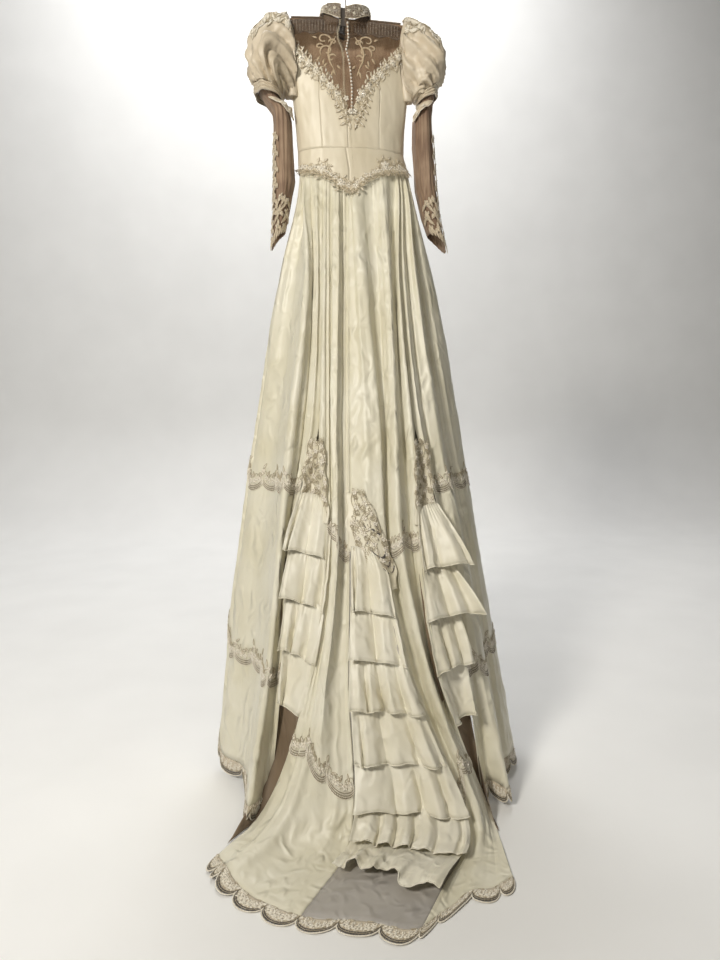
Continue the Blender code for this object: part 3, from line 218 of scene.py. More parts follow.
SLEEVES = {
    "left": [
        # z,     centre, half_x, half_y
        (-0.350, -0.2230, 0.0290, 0.0480), (-0.378, -0.2120, 0.0200, 0.0460),
        (-0.400, -0.1890, 0.0240, 0.0520), (-0.434, -0.1830, 0.0260, 0.0560),
        (-0.600, -0.1810, 0.0300, 0.0540), (-0.680, -0.1910, 0.0230, 0.0480),
        (-0.790, -0.2050, 0.0150, 0.0380),
    ],
    "right": [
        (-0.338, 0.2400, 0.0220, 0.0450), (-0.368, 0.2375, 0.0190, 0.0450),
        (-0.400, 0.2270, 0.0260, 0.0540), (-0.480, 0.2290, 0.0285, 0.0560),
        (-0.600, 0.2390, 0.0290, 0.0540), (-0.680, 0.2530, 0.0250, 0.0480),
        (-0.785, 0.2850, 0.0180, 0.0380),
    ],
}
CUFF_INNER_RISE = 0.050
SLEEVE_CENTRE_Y = 0.004
PEARL_LINE = [
    # z,     x
    (-0.166, 0.001), (-0.205, 0.004), (-0.245, -0.004), (-0.290, 0.006),
    (-0.350, 0.011), (-0.424, 0.010),
]
LOOP_EDGE = [
    (-0.157, -0.019), (-0.190, -0.027), (-0.212, -0.026), (-0.240, -0.017),
    (-0.265, -0.012), (-0.340, -0.012), (-0.380, -0.008), (-0.435, -0.001),
]
KEYHOLE_END_Z = -0.232
COLLAR_HALF_X = 0.073
COLLAR_HALF_Y = 0.054
COLLAR_CENTRE_Y = 0.010
NECK_TUCK = 0.0060
COLLAR_OPENING = (-0.018, -0.006)
COLLAR_EDGES = [
    # angle, top,    bottom
    (0, -0.1230, -0.1570), (20, -0.1140, -0.1550), (50, -0.1090, -0.1385), (60, -0.1085, -0.1320),
    (70, -0.1075, -0.1270), (90, -0.1060, -0.1265), (110, -0.1120, -0.1275), (135, -0.1200, -0.1500),
    (180, -0.1300, -0.1680),
]
HANGER_Z = -0.1500
HANGER_DROOP = 0.0080
HANGER_HALF_LENGTH = 0.164
HANGER_RADIUS = 0.0105
HANGER_CLEAR = 0.0045


# ---------------------------------------------------------------- arithmetic
def ease(x):
    """0 before 0, 1 after 1 and a smooth step between."""
    x = np.clip(x, 0.0, 1.0)
    return x * x * (3.0 - 2.0 * x)


def mix(a, b, f):
    """Blend two values or points."""
    return a + (b - a) * f


def unit(v):
    """Vectors at length one."""
    return v / np.maximum(np.linalg.norm(v, axis=-1, keepdims=True), 1e-9)


def table(rows, key, column):
    """One column of a table at key, in straight lines between its rows."""
    rows = sorted(rows)
    return np.interp(key, [r[0] for r in rows], [r[column] for r in rows])


def xyz(x, y, z):
    """Points from their coordinates."""
    return np.stack([np.asarray(a, float) for a in np.broadcast_arrays(x, y, z)], axis=-1)


def wander(points, pitch, seed):
    """A smooth random height from -1 to 1 that changes over about pitch."""
    rng = np.random.default_rng(seed)
    total, ways = 0.0, 7
    for _ in range(ways):
        way = unit(rng.normal(size=3)) * 2.0 * math.pi / pitch * rng.uniform(0.6, 1.5)
        total = total + np.sin(points @ way + rng.uniform(0.0, 6.3)
                               + 0.8 * np.sin(points @ way[::-1] * 0.45))
    return total / ways * 1.6


# ---------------------------------------------------------------- the body's surface
def body(x, z, side=-1.0, out=0.0):
    """The outside of the bodice at x and z, on the back (side -1) or the front (side 1)."""
    x, z, out = (np.asarray(a, float) for a in np.broadcast_arrays(x, z, out))
    centre, half = table(BODY, z, 1), table(BODY, z, 2)
    high = z > BODY[0][0]
    round_off = table(SHOULDER_ROUND, SHOULDER_Z - z, 1)
    if side > 0:
        round_off = round_off * (1.0 + 0.24 * (SHOULDER_Z - z) / 0.1055)
    depth = np.where(high, round_off, table(BODY, z, 3 if side < 0 else 4))
    runout = np.where(high, BODY[0][5] * ease((SHOULDER_Z - 0.02 - z) / 0.0855), table(BODY, z, 5))
    away = np.clip((x - centre) / half, -0.9999, 0.9999)
    bow = np.sqrt(1.0 - away ** 2)
    point = xyz(x, side * depth * mix(1.0, bow, runout), z)
    return point + out[..., None] * unit(xyz(runout * away / half, side * bow / depth, 0.0))


def neckline_z(x):
    """The V of the satin at the back."""
    return -0.436 + 0.196 * np.minimum(1.0, np.abs(x - 0.002) / 0.160) ** 0.7


def basque_z(x):
    """The lower edge of the basque."""
    return BASQUE_SIDE_Z - BASQUE_DIP * np.exp(-(np.abs(x - 0.004) / 0.062) ** 1.4)


def armhole_x(z, side):
    """The armhole's edge, at the left (-1) or the right (1)."""
    middle = table(BODY, np.minimum(z, -0.24), 1) * ease((-0.14 - z) / 0.1)
    return middle + side * table(ARMHOLE, z, 1)


def neck_edge(x, side):
    """Height and depth of the yoke's upper edge."""
    x = np.asarray(x, float)
    inside = COLLAR_HALF_X - NECK_TUCK
    reach = np.sqrt(np.maximum(0.0, 1.0 - (np.minimum(np.abs(x), inside) / inside) ** 2))
    turn = np.degrees(np.arccos(reach))
    under = table(COLLAR_EDGES, turn if side < 0 else 180.0 - turn, 2) + TUCK_LAP * reach
    neck = np.maximum(0.0008, (COLLAR_HALF_Y - NECK_TUCK) * reach + side * COLLAR_CENTRE_Y)
    outer = np.abs(x) >= inside
    drop = 0.004 * np.maximum(0.0, np.abs(x) - COLLAR_HALF_X) / 0.1
    return np.where(outer, SHOULDER_Z - drop, under), np.where(outer, 0.0008, neck)


def yoke(x, z, side=-1.0, out=0.0):
    """The net yoke at x and z, which runs in to the neck under the collar."""
    top, neck = neck_edge(x, side)
    point = body(x, z, side, out)
    keep = (1.0 - ease((top - z) / 0.085)) * (np.abs(x) < COLLAR_HALF_X - NECK_TUCK)
    depth = mix(np.abs(point[..., 1]), neck + out, keep)
    over_bar = z - HANGER_Z + HANGER_DROOP * (x / HANGER_HALF_LENGTH) ** 2
    clear = np.sqrt(np.maximum(0.0, (HANGER_RADIUS + HANGER_CLEAR) ** 2 - over_bar ** 2))
    return xyz(point[..., 0], side * np.maximum(np.maximum(depth, clear), 0.0008), z)


def upper_back(x, z, out=0.0):
    """The outside of the back above the waist: net over satin, whichever is there."""
    x, z, out = (np.asarray(a, float) for a in np.broadcast_arrays(x, z, out))
    return np.where((z > neckline_z(x))[..., None], yoke(x, z, -1.0, out), body(x, z, -1.0, out))


# ---------------------------------------------------------------- the skirt's surface
def outline_at(z):
    """Centre and half width of the skirt at a height."""
    rows = [(FOLDS["A1"][i], FOLDS["D6"][i], lvl) for i, lvl in enumerate(FOLD_LEVELS + (FLOOR,))]
    x0, x1 = (table([(r[2], r[k]) for r in rows], z, 1) for k in (0, 1))
    return (x0 + x1) / 2, (x1 - x0) / 2


def side_y(z, right):
    """How far back the widest point of each side has swung."""
    fall = max(0.0, (FOLD_LEVELS[0] - z) / 1.70)
    return -(0.10 if right else 0.16) * fall ** 1.5


def back_y(x, z):
    """The back of the skirt without its folds: it leans back towards the train."""
    fall = max(0.0, (FOLD_LEVELS[0] - z) / 1.70)
    centre, half = outline_at(z)
    away = (x - centre) / half
    return mix(-0.080 - 0.530 * fall ** 1.2, side_y(z, away > 0), min(1.0, abs(away)) ** 3)


def smooth_path(points):
    """A smooth path through a few points, kept off the floor."""
    steps = 12
    pts = [np.array(p, dtype=float) for p in points]
    pts = [2 * pts[0] - pts[1]] + pts + [2 * pts[-1] - pts[-2]]
    path = []
    for p0, p1, p2, p3 in zip(pts, pts[1:], pts[2:], pts[3:]):
        d0, d1, d2 = (max(np.linalg.norm(b - a), 1e-6) for a, b in ((p0, p1), (p1, p2), (p2, p3)))
        m1 = ((p1 - p0) / d0 * d1 + (p2 - p1) / d1 * d0) / (d0 + d1)
        m2 = ((p2 - p1) / d1 * d2 + (p3 - p2) / d2 * d1) / (d1 + d2)
        for f in np.arange(steps) / steps:
            path.append((2 * f ** 3 - 3 * f * f + 1) * p1 + (f ** 3 - 2 * f * f + f) * d1 * m1
                        + (3 * f * f - 2 * f ** 3) * p2 + (f ** 3 - f * f) * d1 * m2)
    path = np.array(path + [pts[-2]])
    path[:, 2] = np.maximum(path[:, 2], FLOOR + CAD_SATIN)
    return path


def back_path(name):
    """One lengthwise fold of the back, from the basque to the hem."""
    row = FOLDS[name]
    stand, lift, low = row[9], row[10], FLOOR + CAD_SATIN
    x = row[0]
    points = [body(x, basque_z(x) + TUCK_LAP, -1.0, -TUCK),
              body(x, basque_z(x) - 0.012, -1.0, -TUCK + 0.001 + 0.15 * stand)]
    for x, z, scale in list(zip(row, FOLD_LEVELS, STAND_SCALE))[1:]:
        points.append((x, back_y(x, z) - stand * scale, z))
    if row[7] is None:
        points.append((row[5], row[6] - stand * STAND_SCALE[5], low + 0.003 + lift))
    else:
        for f, up in ((0.0, 1.0), (0.5, 0.7), (1.0, 0.25)):
            points.append((mix(row[5], row[7], f), mix(row[6], row[8], f), low + lift * up))
    return smooth_path(points)


def front_path(angle, index):
    """One fold of the hidden front."""
    turn = math.radians(angle)
    hem = mix(FRONT_HEM_Z, SIDE_HEM_Z, (abs(angle) / 90.0) ** 1.5)
    stand = FRONT_STAND * (-1 if index % 2 else 1)
    first = bodice_x(0.97 * angle, -0.58)
    top = basque_z(first)
    points = [body(first, top + TUCK_LAP, 1.0, -TUCK), body(first, top - 0.012, 1.0, -TUCK + 0.001)]
    for down, scale in ((0.15, 0.5), (0.45, 1.0), (0.75, 1.2), (1.0, 1.3)):
        z = mix(top, hem, down)
        centre, half = outline_at(z)
        x = centre + half * 0.985 * math.sin(turn)
        ahead = 0.062 + 0.100 * max(0.0, (FOLD_LEVELS[0] - z) / 1.1)
        y = mix(ahead, side_y(z, angle > 0), abs(math.sin(turn)) ** 2.5)
        points.append((x + math.sin(turn) * stand * scale, y + math.cos(turn) * stand * scale, z))
    return smooth_path(points)


def bodice_x(angle, z):
    """How far across the bodice is at an angle from the centre back, in at the armholes."""
    turn = np.sin(np.radians(angle))
    centre, half = table(BODY, z, 1), table(BODY, z, 2)
    edge = np.where(turn > 0, armhole_x(z, 1.0), armhole_x(z, -1.0))
    half = np.where(np.asarray(z) > UNDERARM_Z, np.minimum(half, np.abs(edge - centre)), half)
    return centre + half * turn


LEVELS = np.linspace(0.0, 1.02, 409)      # the shares of the way down at which the ring is worked out


def measured(path):
    """A fold line's points at LEVELS, and its length."""
    steps = np.linalg.norm(np.diff(path, axis=0), axis=1)
    along = np.concatenate(([0.0], np.cumsum(steps)))
    reach = LEVELS * along[-1]
    line = np.stack([np.interp(reach, along, path[:, k]) for k in range(3)], axis=-1)
    past = np.maximum(reach - along[-1], 0.0)[:, None]
    return line + past * unit(path[-1] - path[-2]), along[-1]


def make_ring():
    """Every line round the skirt at each level, the ring's direction there, and the lengths."""
    lines = {name: measured(back_path(name)) for name in FOLDS}
    for i, angle in enumerate(FRONT_ANGLES):
        lines["F%d" % angle] = measured(front_path(angle, i))
    points, lengths = [], []
    for name in RING:
        insert, _, which = name.partition(":")
        if which:
            seam, left, right, top, _, sink = INSERTS[insert]
            wide = ease((LEVELS - top) / OPENING)[:, None]
            edges = [mix(lines[seam][0], lines[fold][0], wide) for fold in (left, right)]
            middle = 0.5 * (edges[0] + edges[1])
            middle[:, 1] += (sink * ease((LEVELS - top - 0.03) / 0.16)
                             * ease((middle[:, 2] - FLOOR) / 0.10))
            middle[:, 2] = np.maximum(middle[:, 2], FLOOR + CAD_SATIN)
            points.append({"left": edges[0], "mid": middle, "right": edges[1]}[which])
            lengths.append(lines[{"left": left, "mid": seam, "right": right}[which]][1])
        elif name in ROLLED:
            insert, behind, share = ROLLED[name]
            spread = share * ease((LEVELS - INSERTS[insert][3]) / OPENING)[:, None]
            points.append(mix(lines[name][0], lines[behind][0], spread))
            lengths.append(lines[name][1])
        else:
            points.append(lines[name][0])
            lengths.append(lines[name][1])
    points = np.stack(points, axis=1)
    count = len(RING)
    heads = np.zeros_like(points)
    for i in range(count):
        ends = []
        for way in (-1, 1):
            found = points[:, (i + way) % count].copy()
            for step in (2, 3, 4):
                near = np.linalg.norm(found - points[:, i], axis=1) < 0.003
                found[near] = points[near, (i + way * step) % count]
            ends.append(found)
        back, ahead = points[:, i] - ends[0], ends[1] - points[:, i]
        d0, d1 = (np.linalg.norm(a, axis=1, keepdims=True) for a in (back, ahead))
        heads[:, i] = (back / d0 * d1 + ahead / d1 * d0) / (d0 + d1)
    return points, heads, np.array(lengths)


RING_POINTS, RING_HEADS, RING_LENGTHS = make_ring()


def skirt(w, t):
    """The skirt's outer surface at ring place w (in lines) and share t of the way down."""
    w, t = (np.asarray(a, float) for a in np.broadcast_arrays(w, t))
    i = np.floor(w + 1e-9).astype(int)
    f = np.clip(w - i, 0.0, 1.0)[..., None]
    spot = np.clip(t / LEVELS[-1], 0.0, 0.99999) * (len(LEVELS) - 1)
    row = spot.astype(int)
    share = (spot - row)[..., None]
    count = len(RING)

    def at(grid, k):
        return mix(grid[row, k % count], grid[row + 1, k % count], share)
    a, b = at(RING_POINTS, i), at(RING_POINTS, i + 1)
    chord = np.linalg.norm(b - a, axis=-1, keepdims=True)
    point = ((2 * f ** 3 - 3 * f * f + 1) * a + (f ** 3 - 2 * f * f + f) * chord * at(RING_HEADS, i)
             + (3 * f * f - 2 * f ** 3) * b + (f ** 3 - f * f) * chord * at(RING_HEADS, i + 1))
    point[..., 2] = np.maximum(point[..., 2], FLOOR + CAD_SATIN)
    return point


def ring_place(first, last, u):
    """Ring place a share u of the way from one line to another."""
    start = RING.index(first)
    return start + u * ((RING.index(last) - start) % len(RING))


def hem_level(w):
    """The level of a panel's hem, above the edging."""
    i = np.floor(w + 1e-9).astype(int)
    size = len(RING_LENGTHS)
    return 1.0 - HEM_LACE / mix(RING_LENGTHS[i % size], RING_LENGTHS[(i + 1) % size], w - i)


def waist_place():
    """Length round the waist at each line of the ring, for the gathers."""
    row = RING_POINTS[10]
    steps = np.linalg.norm(np.roll(row, -1, axis=0) - row, axis=1)
    steps[[i for i, name in enumerate(RING) if ":" in name and not name.endswith("right")]] = 0.0
    return np.concatenate(([0.0], np.cumsum(steps)))


WAIST = waist_place()


def gathers(w, t):
    """How far the cloth stands out in the gathers that fall from the waist."""
    count = len(RING)
    place = np.interp(w % count, np.arange(count + 1), WAIST)
    uneven = 0.30 * np.sin(place * 61.0) + 0.22 * np.sin(place * 113.0 + 1.0)
    turn = 2.0 * math.pi * (place / PLEAT_PITCH + uneven)
    ridge = 2.0 * np.abs(np.cos(turn / 2.0)) ** 0.7 - 1.25
    number = np.floor(place / PLEAT_PITCH + uneven + 0.5)
    reach = 0.30 + 0.34 * np.abs(np.sin(number * 12.9898)) ** 1.3
    size = mix(0.0020, 0.0042, ease(t / 0.22)) * (0.55 + 0.45 * np.abs(np.sin(number * 4.1)))
    return ridge * size * ease(t / 0.012) * (1.0 - ease((t - 0.45 * reach) / (0.9 * reach)))


# ---------------------------------------------------------------- patches
class Patch:
    """A cloth surface as a grid of points (rows down, columns across), to build and to sew on."""

    def __init__(self, grid, outside, spot=(0.5, 0.5)):
        self.grid = grid
        normals = self.find_normals(grid)
        rows, columns = normals.shape[:2]
        middle = normals[int(spot[1] * (rows - 1)), int(spot[0] * (columns - 1))]
        self.turned = float(middle @ np.array(outside, float)) < 0.0
        self.normals = -normals if self.turned else normals

    @staticmethod
    def find_normals(grid):
        across = np.gradient(grid, axis=1)
        down = np.gradient(grid, axis=0)
        return unit(np.cross(down, across))

    def push(self, height):
        """Move the surface out by a height at each point."""
        self.grid = self.grid + height[..., None] * self.normals
        self.grid[..., 2] = np.maximum(self.grid[..., 2], FLOOR + 0.0012)
        normals = self.find_normals(self.grid)
        self.normals = -normals if self.turned else normals
        return self

    def part(self, first, last):
        """Some rows of the patch, as a patch that keeps their normals."""
        piece = copy.copy(self)
        piece.grid, piece.normals = self.grid[first:last], self.normals[first:last]
        return piece

    def at(self, u, v, out=0.0):
        """The point at u across and v down, raised by out."""
        rows, columns = self.grid.shape[:2]
        u, v, out = (np.asarray(a, float) for a in np.broadcast_arrays(u, v, out))
        x = np.clip(u, 0.0, 1.0) * (columns - 1) * 0.999999
        y = np.clip(v, 0.0, 1.0) * (rows - 1) * 0.999999
        i, j = x.astype(int), y.astype(int)
        f, g = (x - i)[..., None], (y - j)[..., None]

        def read(field):
            return mix(mix(field[j, i], field[j, i + 1], f),
                       mix(field[j + 1, i], field[j + 1, i + 1], f), g)
        return read(self.grid) + out[..., None] * unit(read(self.normals))

    def size(self):
        """Width, length and area of the cloth."""
        across, down = np.diff(self.grid, axis=1), np.diff(self.grid, axis=0)
        area = np.linalg.norm(np.cross(across[1:] + across[:-1], down[:, 1:] + down[:, :-1]), axis=2)
        width = np.linalg.norm(across, axis=2).sum(axis=1).max()
        length = np.linalg.norm(down, axis=2).sum(axis=0).max()
        return width, length, 0.25 * area.sum()


def mesh_object(name, points, faces, material, uvs=None):
    """A smooth mesh object at the origin."""
    mesh = bpy.data.meshes.new(name)
    mesh.from_pydata([tuple(p) for p in points], [], [tuple(int(i) for i in f) for f in faces])
    if uvs is not None:
        layer = mesh.uv_layers.new(name="cloth")
        loops = np.zeros(len(mesh.loops), np.int32)
        mesh.loops.foreach_get("vertex_index", loops)
        layer.data.foreach_set("uv", np.asarray(uvs, np.float32)[loops].ravel())
    mesh.materials.append(material)
    mesh.shade_smooth()
    obj = bpy.data.objects.new(name, mesh)
    bpy.context.scene.collection.objects.link(obj)
    return obj


def cloth(name, patch, wall, material, node, held, closed=False):
    """Build a patch as a cloth piece that stands for a CAD node.
    A tape, which is narrower than a sheet can be, has held None."""
    grid = patch.grid
    rows, columns = grid.shape[:2]
    across = np.concatenate((np.zeros((rows, 1)),
                             np.cumsum(np.linalg.norm(np.diff(grid, axis=1), axis=2), axis=1)), axis=1)
    down = np.concatenate((np.zeros((1, columns)),
                           np.cumsum(np.linalg.norm(np.diff(grid, axis=0), axis=2), axis=0)), axis=0)
    middle = across[:, columns // 2][:, None]
    uvs = np.stack((across - middle, down), axis=-1).reshape(-1, 2)
    span = columns - 1 if closed else columns
    index = np.arange(rows)[:, None] * span + np.arange(columns)[None] % span
    faces = np.stack((index[:-1, :-1], index[1:, :-1], index[1:, 1:], index[:-1, 1:]),
                     axis=-1).reshape(-1, 4)
    if patch.turned:
        faces = faces[:, ::-1]
    uvs = uvs.reshape(rows, columns, 2)[:, :span].reshape(-1, 2)
    obj = mesh_object(name, grid[:, :span].reshape(-1, 3), faces, material, uvs)
    solid = obj.modifiers.new("wall", "SOLIDIFY")
    solid.thickness = wall
    solid.offset = -1.0
    solid.use_rim = True
    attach(obj, "root")
    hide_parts(node)
    if held:
        width, length, area = patch.size()


def sewn(obj, node=None):
    """A trim rides on the dress and may stand for a CAD node."""
    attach(obj, "root")
    if node:
        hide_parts(node)


# ---------------------------------------------------------------- materials
def hex_rgb(code):
    """A linear colour from an sRGB hex value."""
    parts = [int(code[i:i + 2], 16) / 255.0 for i in (1, 3, 5)]
    return [c / 12.92 if c <= 0.04045 else ((c + 0.055) / 1.055) ** 2.4 for c in parts] + [1.0]


def add(tree, kind, values=None, links=None, **settings):
    """Add a node with its settings, its input constants and its input links."""
    node = tree.nodes.new(kind)
    for name, value in settings.items():
        setattr(node, name, value)
    for name, value in (values or {}).items():
        node.inputs[name].default_value = value
    for name, source in (links or {}).items():
        tree.links.new(source, node.inputs[name])
    return node


def new_material(name, roughness, **shader):
    """A material with its shader and object coordinates: (material, tree, shader, coordinates)."""
    mat = bpy.data.materials.new(name)
    mat.use_nodes = True
    tree = mat.node_tree
    bsdf = tree.nodes["Principled BSDF"]
    bsdf.inputs["Roughness"].default_value = roughness
    for key, value in shader.items():
        bsdf.inputs[key.replace("_", " ")].default_value = value
    return mat, tree, bsdf, add(tree, "ShaderNodeTexCoord").outputs["Object"]


def finish(tree, bsdf, tint, span, tones, height=None, strength=0.35, rise=FINE_RISE, under=None):
    """Colour a surface from its dark to its light tone as tint goes over span, and raise it by a
    height over whatever finer relief is under it."""
    ramp = add(tree, "ShaderNodeValToRGB", links={"Fac": tint})
    for stop, place, tone in zip(ramp.color_ramp.elements, span, tones):
        stop.position = place
        stop.color = hex_rgb(tone)
    tree.links.new(ramp.outputs["Color"], bsdf.inputs["Base Color"])
    if height is not None:
        bump = add(tree, "ShaderNodeBump", {"Strength": strength, "Distance": rise},
                   {"Height": height, **({"Normal": under} if under else {})})
        tree.links.new(bump.outputs["Normal"], bsdf.inputs["Normal"])


def satin(name, light, dark, crease=0.6):
    """Bridal satin: a smooth face of long floats, so it has soft lengthwise lustre and creases."""
    mat, tree, bsdf, place = new_material(name, 0.43, Sheen_Weight=0.15, Sheen_Roughness=0.35,
                                          Specular_IOR_Level=0.5)
    cloud = add(tree, "ShaderNodeTexNoise", {"Scale": 7.0, "Detail": 3.0}, {"Vector": place})
    # creases 10 to 30 mm long and sharp, as cloth keeps from being folded away
    bend = add(tree, "ShaderNodeTexNoise", {"Scale": 11.0, "Detail": 1.0}, {"Vector": place})
    shift = add(tree, "ShaderNodeVectorMath", {1: (1.0, 1.0, 0.55)}, {0: place},
                operation="MULTIPLY")
    swing = add(tree, "ShaderNodeVectorMath", {"Scale": 0.045}, {0: bend.outputs["Color"]},
                operation="SCALE")
    moved = add(tree, "ShaderNodeVectorMath", links={0: shift.outputs[0], 1: swing.outputs[0]},
                operation="ADD")
    fold = add(tree, "ShaderNodeTexNoise",
               {"Scale": 30.0, "Detail": 2.5, "Roughness": 0.5, "Distortion": 0.4},
               {"Vector": moved.outputs[0]}, noise_type="RIDGED_MULTIFRACTAL")
    # floats of 0.3 mm, drawn 1.2 mm apart so that they show
    floats = add(tree, "ShaderNodeMapping", {"Scale": (850.0, 850.0, 60.0)}, {"Vector": place})
    weave = add(tree, "ShaderNodeTexNoise", {"Scale": 1.0, "Detail": 1.0},
                {"Vector": floats.outputs["Vector"]})
    fine = add(tree, "ShaderNodeBump", {"Strength": 0.10, "Distance": FINE_RISE},
               {"Height": weave.outputs["Fac"]})
    finish(tree, bsdf, cloud.outputs["Fac"], (0.30, 0.70), (dark, light), fold.outputs["Fac"], crease,
           0.0180, fine.outputs["Normal"])
    return mat


def thread_lace(name, light, dark):
    """Cotton and rayon lace: matt twisted thread, so it is rough with a fine twist."""
    mat, tree, bsdf, place = new_material(name, 0.62, Sheen_Weight=0.2)
    spots = add(tree, "ShaderNodeTexNoise", {"Scale": 260.0, "Detail": 2.0}, {"Vector": place})
    # a twist of 0.4 mm, drawn at 0.7 mm
    twist = add(tree, "ShaderNodeTexNoise", {"Scale": 1500.0}, {"Vector": place})
    finish(tree, bsdf, spots.outputs["Fac"], (0.35, 0.65), (dark, light), twist.outputs["Fac"])
    return mat


def net(name, light, dark, alpha=1.0):
    """Nylon net: fine threads over open cells, which from a step away read as a sheer veil."""
    mat, tree, bsdf, place = new_material(name, 0.7, Sheen_Weight=0.15, Alpha=alpha)
    cloud = add(tree, "ShaderNodeTexNoise", {"Scale": 14.0, "Detail": 3.0}, {"Vector": place})
    streak = add(tree, "ShaderNodeMapping", {"Scale": (170.0, 170.0, 7.0)}, {"Vector": place})
    folds = add(tree, "ShaderNodeTexNoise", {"Scale": 1.0, "Detail": 2.0},
                {"Vector": streak.outputs["Vector"]})
    both = add(tree, "ShaderNodeMath", links={0: cloud.outputs["Fac"], 1: folds.outputs["Fac"]},
               operation="ADD")
    half = add(tree, "ShaderNodeMath", {1: 0.5}, {0: both.outputs["Value"]}, operation="MULTIPLY")
    # cells of 1 mm, drawn at 1.6 mm
    cells = add(tree, "ShaderNodeTexVoronoi", {"Scale": 620.0}, {"Vector": place},
                feature="DISTANCE_TO_EDGE")
    finish(tree, bsdf, half.outputs["Value"], (0.38, 0.62), (dark, light), cells.outputs["Distance"])
    return mat


def polished(name, light, dark, roughness, **shader):
    """A hard glossy finish with a slight unevenness, as on beads and wire."""
    mat, tree, bsdf, place = new_material(name, roughness, **shader)
    spots = add(tree, "ShaderNodeTexNoise", {"Scale": 90.0}, {"Vector": place}).outputs["Fac"]
    finish(tree, bsdf, spots, (0.3, 0.7), (dark, light), spots, 0.05, 0.0003)
    return mat


def shirred(name, light, dark):
    """Dark shirred satin, whose gathers catch a thin light line each."""
    mat, tree, bsdf, place = new_material(name, 0.34, Sheen_Weight=0.3)
    cloud = add(tree, "ShaderNodeTexNoise", {"Scale": 220.0, "Detail": 2.0},
                {"Vector": place}).outputs["Fac"]
    finish(tree, bsdf, cloud, (0.45, 0.62), (dark, light), cloud, 0.4, 0.0008)
    return mat


IVORY = satin("satin_ivory", "#E9E5D4", "#DCD6BE")
CREAM = satin("satin_bodice", "#E6DDC8", "#DACFB6", 0.12)
# painted shade: grey satin for the centre insert and its panel on the floor
PAINTED_SHADE_GREY = satin("satin_insert_painted_shade", "#B9B4AD", "#A49F99", 0.5)
MOTIF_GROUND = satin("satin_under_lace", "#EBE5D2", "#DCD4BC", 0.3)
# painted shade: brown satin for the side inserts, for the shade between the panels and below the
# ruffles
SHADE = satin("satin_side_insert_painted_shade", "#8F7D69", "#776653", 0.5)
FRILL = satin("satin_ruffle", "#EFEBDC", "#E3DDC8", 0.45)
PUFF = satin("satin_puff", "#DDD1BC", "#C9BBA3", 0.3)
THREAD = thread_lace("lace_thread", "#F3EDE0", "#E2D9C6")
# the outline cords are real, but their tone, darker than the thread, is painted shade along the lace's
# raised edges
SHADED_OUTLINE = thread_lace("lace_outline_painted_shade", "#C3B79C", "#A89B80")
NECK_CORD = thread_lace("lace_neck_cord", "#D9CCB2", "#C3B496")
# painted shade: dark cord for the bands' ladder arcs and bars, for the shade seen in their open gaps
BAND_GAP_SHADE = thread_lace("lace_band_gap_shade", "#A89B82", "#8E8269")
# painted shade: near-black cord for the darkness in the edging's open arc and in the middle motif's
# holes
LADDER_SHADE = thread_lace("lace_ladder_painted_shade", "#5A5450", "#474240")
BAND = thread_lace("lace_band", "#8F7E6B", "#63564A")
PALE_LACE = thread_lace("lace_on_net", "#C9B596", "#B39C7C")
SLEEVE_LACE = thread_lace("lace_sleeve", "#DDD0BA", "#C4B498")
YOKE_NET = net("net_yoke", "#B0916F", "#8A6C50", 0.15)
YOKE_LINING = net("net_front", "#CFB497", "#AE9077")
STAND_NET = net("net_neck_stand", "#5A524B", "#433D38")
SLEEVE_NET = net("net_sleeve", "#A58C74", "#7C6350")
GROUND = net("net_edging", "#D8CCB9", "#C4B7A1")
# moulded beads dipped in pearl essence: a soft glow under a clear skin
PEARL_BUTTON = polished("pearl_button", "#F4F0E6", "#D9D2C4", 0.22, Coat_Weight=0.5,
                        Coat_Roughness=0.1)
PEARL_BEAD = polished("pearl_bead", "#F5EEDD", "#E2D8C2", 0.25, Coat_Weight=0.4, Coat_Roughness=0.15)
# stamped sequins and glass beads: small mirrors
SEQUIN = polished("sequin", "#F7F2E8", "#CFC4AE", 0.16, Metallic=0.55)
# plated steel wire
WIRE = polished("plated_wire", "#85827F", "#6E6C6A", 0.3, Metallic=1.0)
HANGER_CLOTH = shirred("shirred_satin", "#4A4745", "#211F1F")
# painted highlight: pale cords for the light that each gather of the dark cover catches
RIB_HIGHLIGHT = shirred("shirring_highlight_cord", "#C9C5BE", "#8D8984")


# ---------------------------------------------------------------- what grows along a path
def node_group(name, sizes):
    """A Geometry Nodes tree with a geometry, a material and named sizes as its inputs."""
    group = bpy.data.node_groups.new(name, "GeometryNodeTree")
    group.interface.new_socket("Geometry", in_out="INPUT", socket_type="NodeSocketGeometry")
    group.interface.new_socket("Material", in_out="INPUT", socket_type="NodeSocketMaterial")
    for size, kind in sizes.items():
        group.interface.new_socket(size, in_out="INPUT", socket_type="NodeSocket" + kind)
    group.interface.new_socket("Geometry", in_out="OUTPUT", socket_type="NodeSocketGeometry")
    return group, add(group, "NodeGroupInput").outputs


def end_group(group, start, geometry):
    """Smooth the result, make instances real and give it its material."""
    smooth = add(group, "GeometryNodeSetShadeSmooth", links={"Geometry": geometry})
    real = add(group, "GeometryNodeRealizeInstances", links={"Geometry": smooth.outputs[0]})
    done = add(group, "GeometryNodeSetMaterial", links={"Geometry": real.outputs[0],
                                                        "Material": start["Material"]})
    add(group, "NodeGroupOutput", links={"Geometry": done.outputs[0]})
    return group


def thread_group():
    """Turn edges into round thread."""
    group, start = node_group("thread", {"Radius": "Float", "Sides": "Int"})
    line = add(group, "GeometryNodeMeshToCurve", links={"Mesh": start["Geometry"]})
    ring = add(group, "GeometryNodeCurvePrimitiveCircle", links={"Resolution": start["Sides"],
                                                                 "Radius": start["Radius"]})
    tube = add(group, "GeometryNodeCurveToMesh", {"Fill Caps": True},
               {"Curve": line.outputs[0], "Profile Curve": ring.outputs[0]})
    return end_group(group, start, tube.outputs[0])


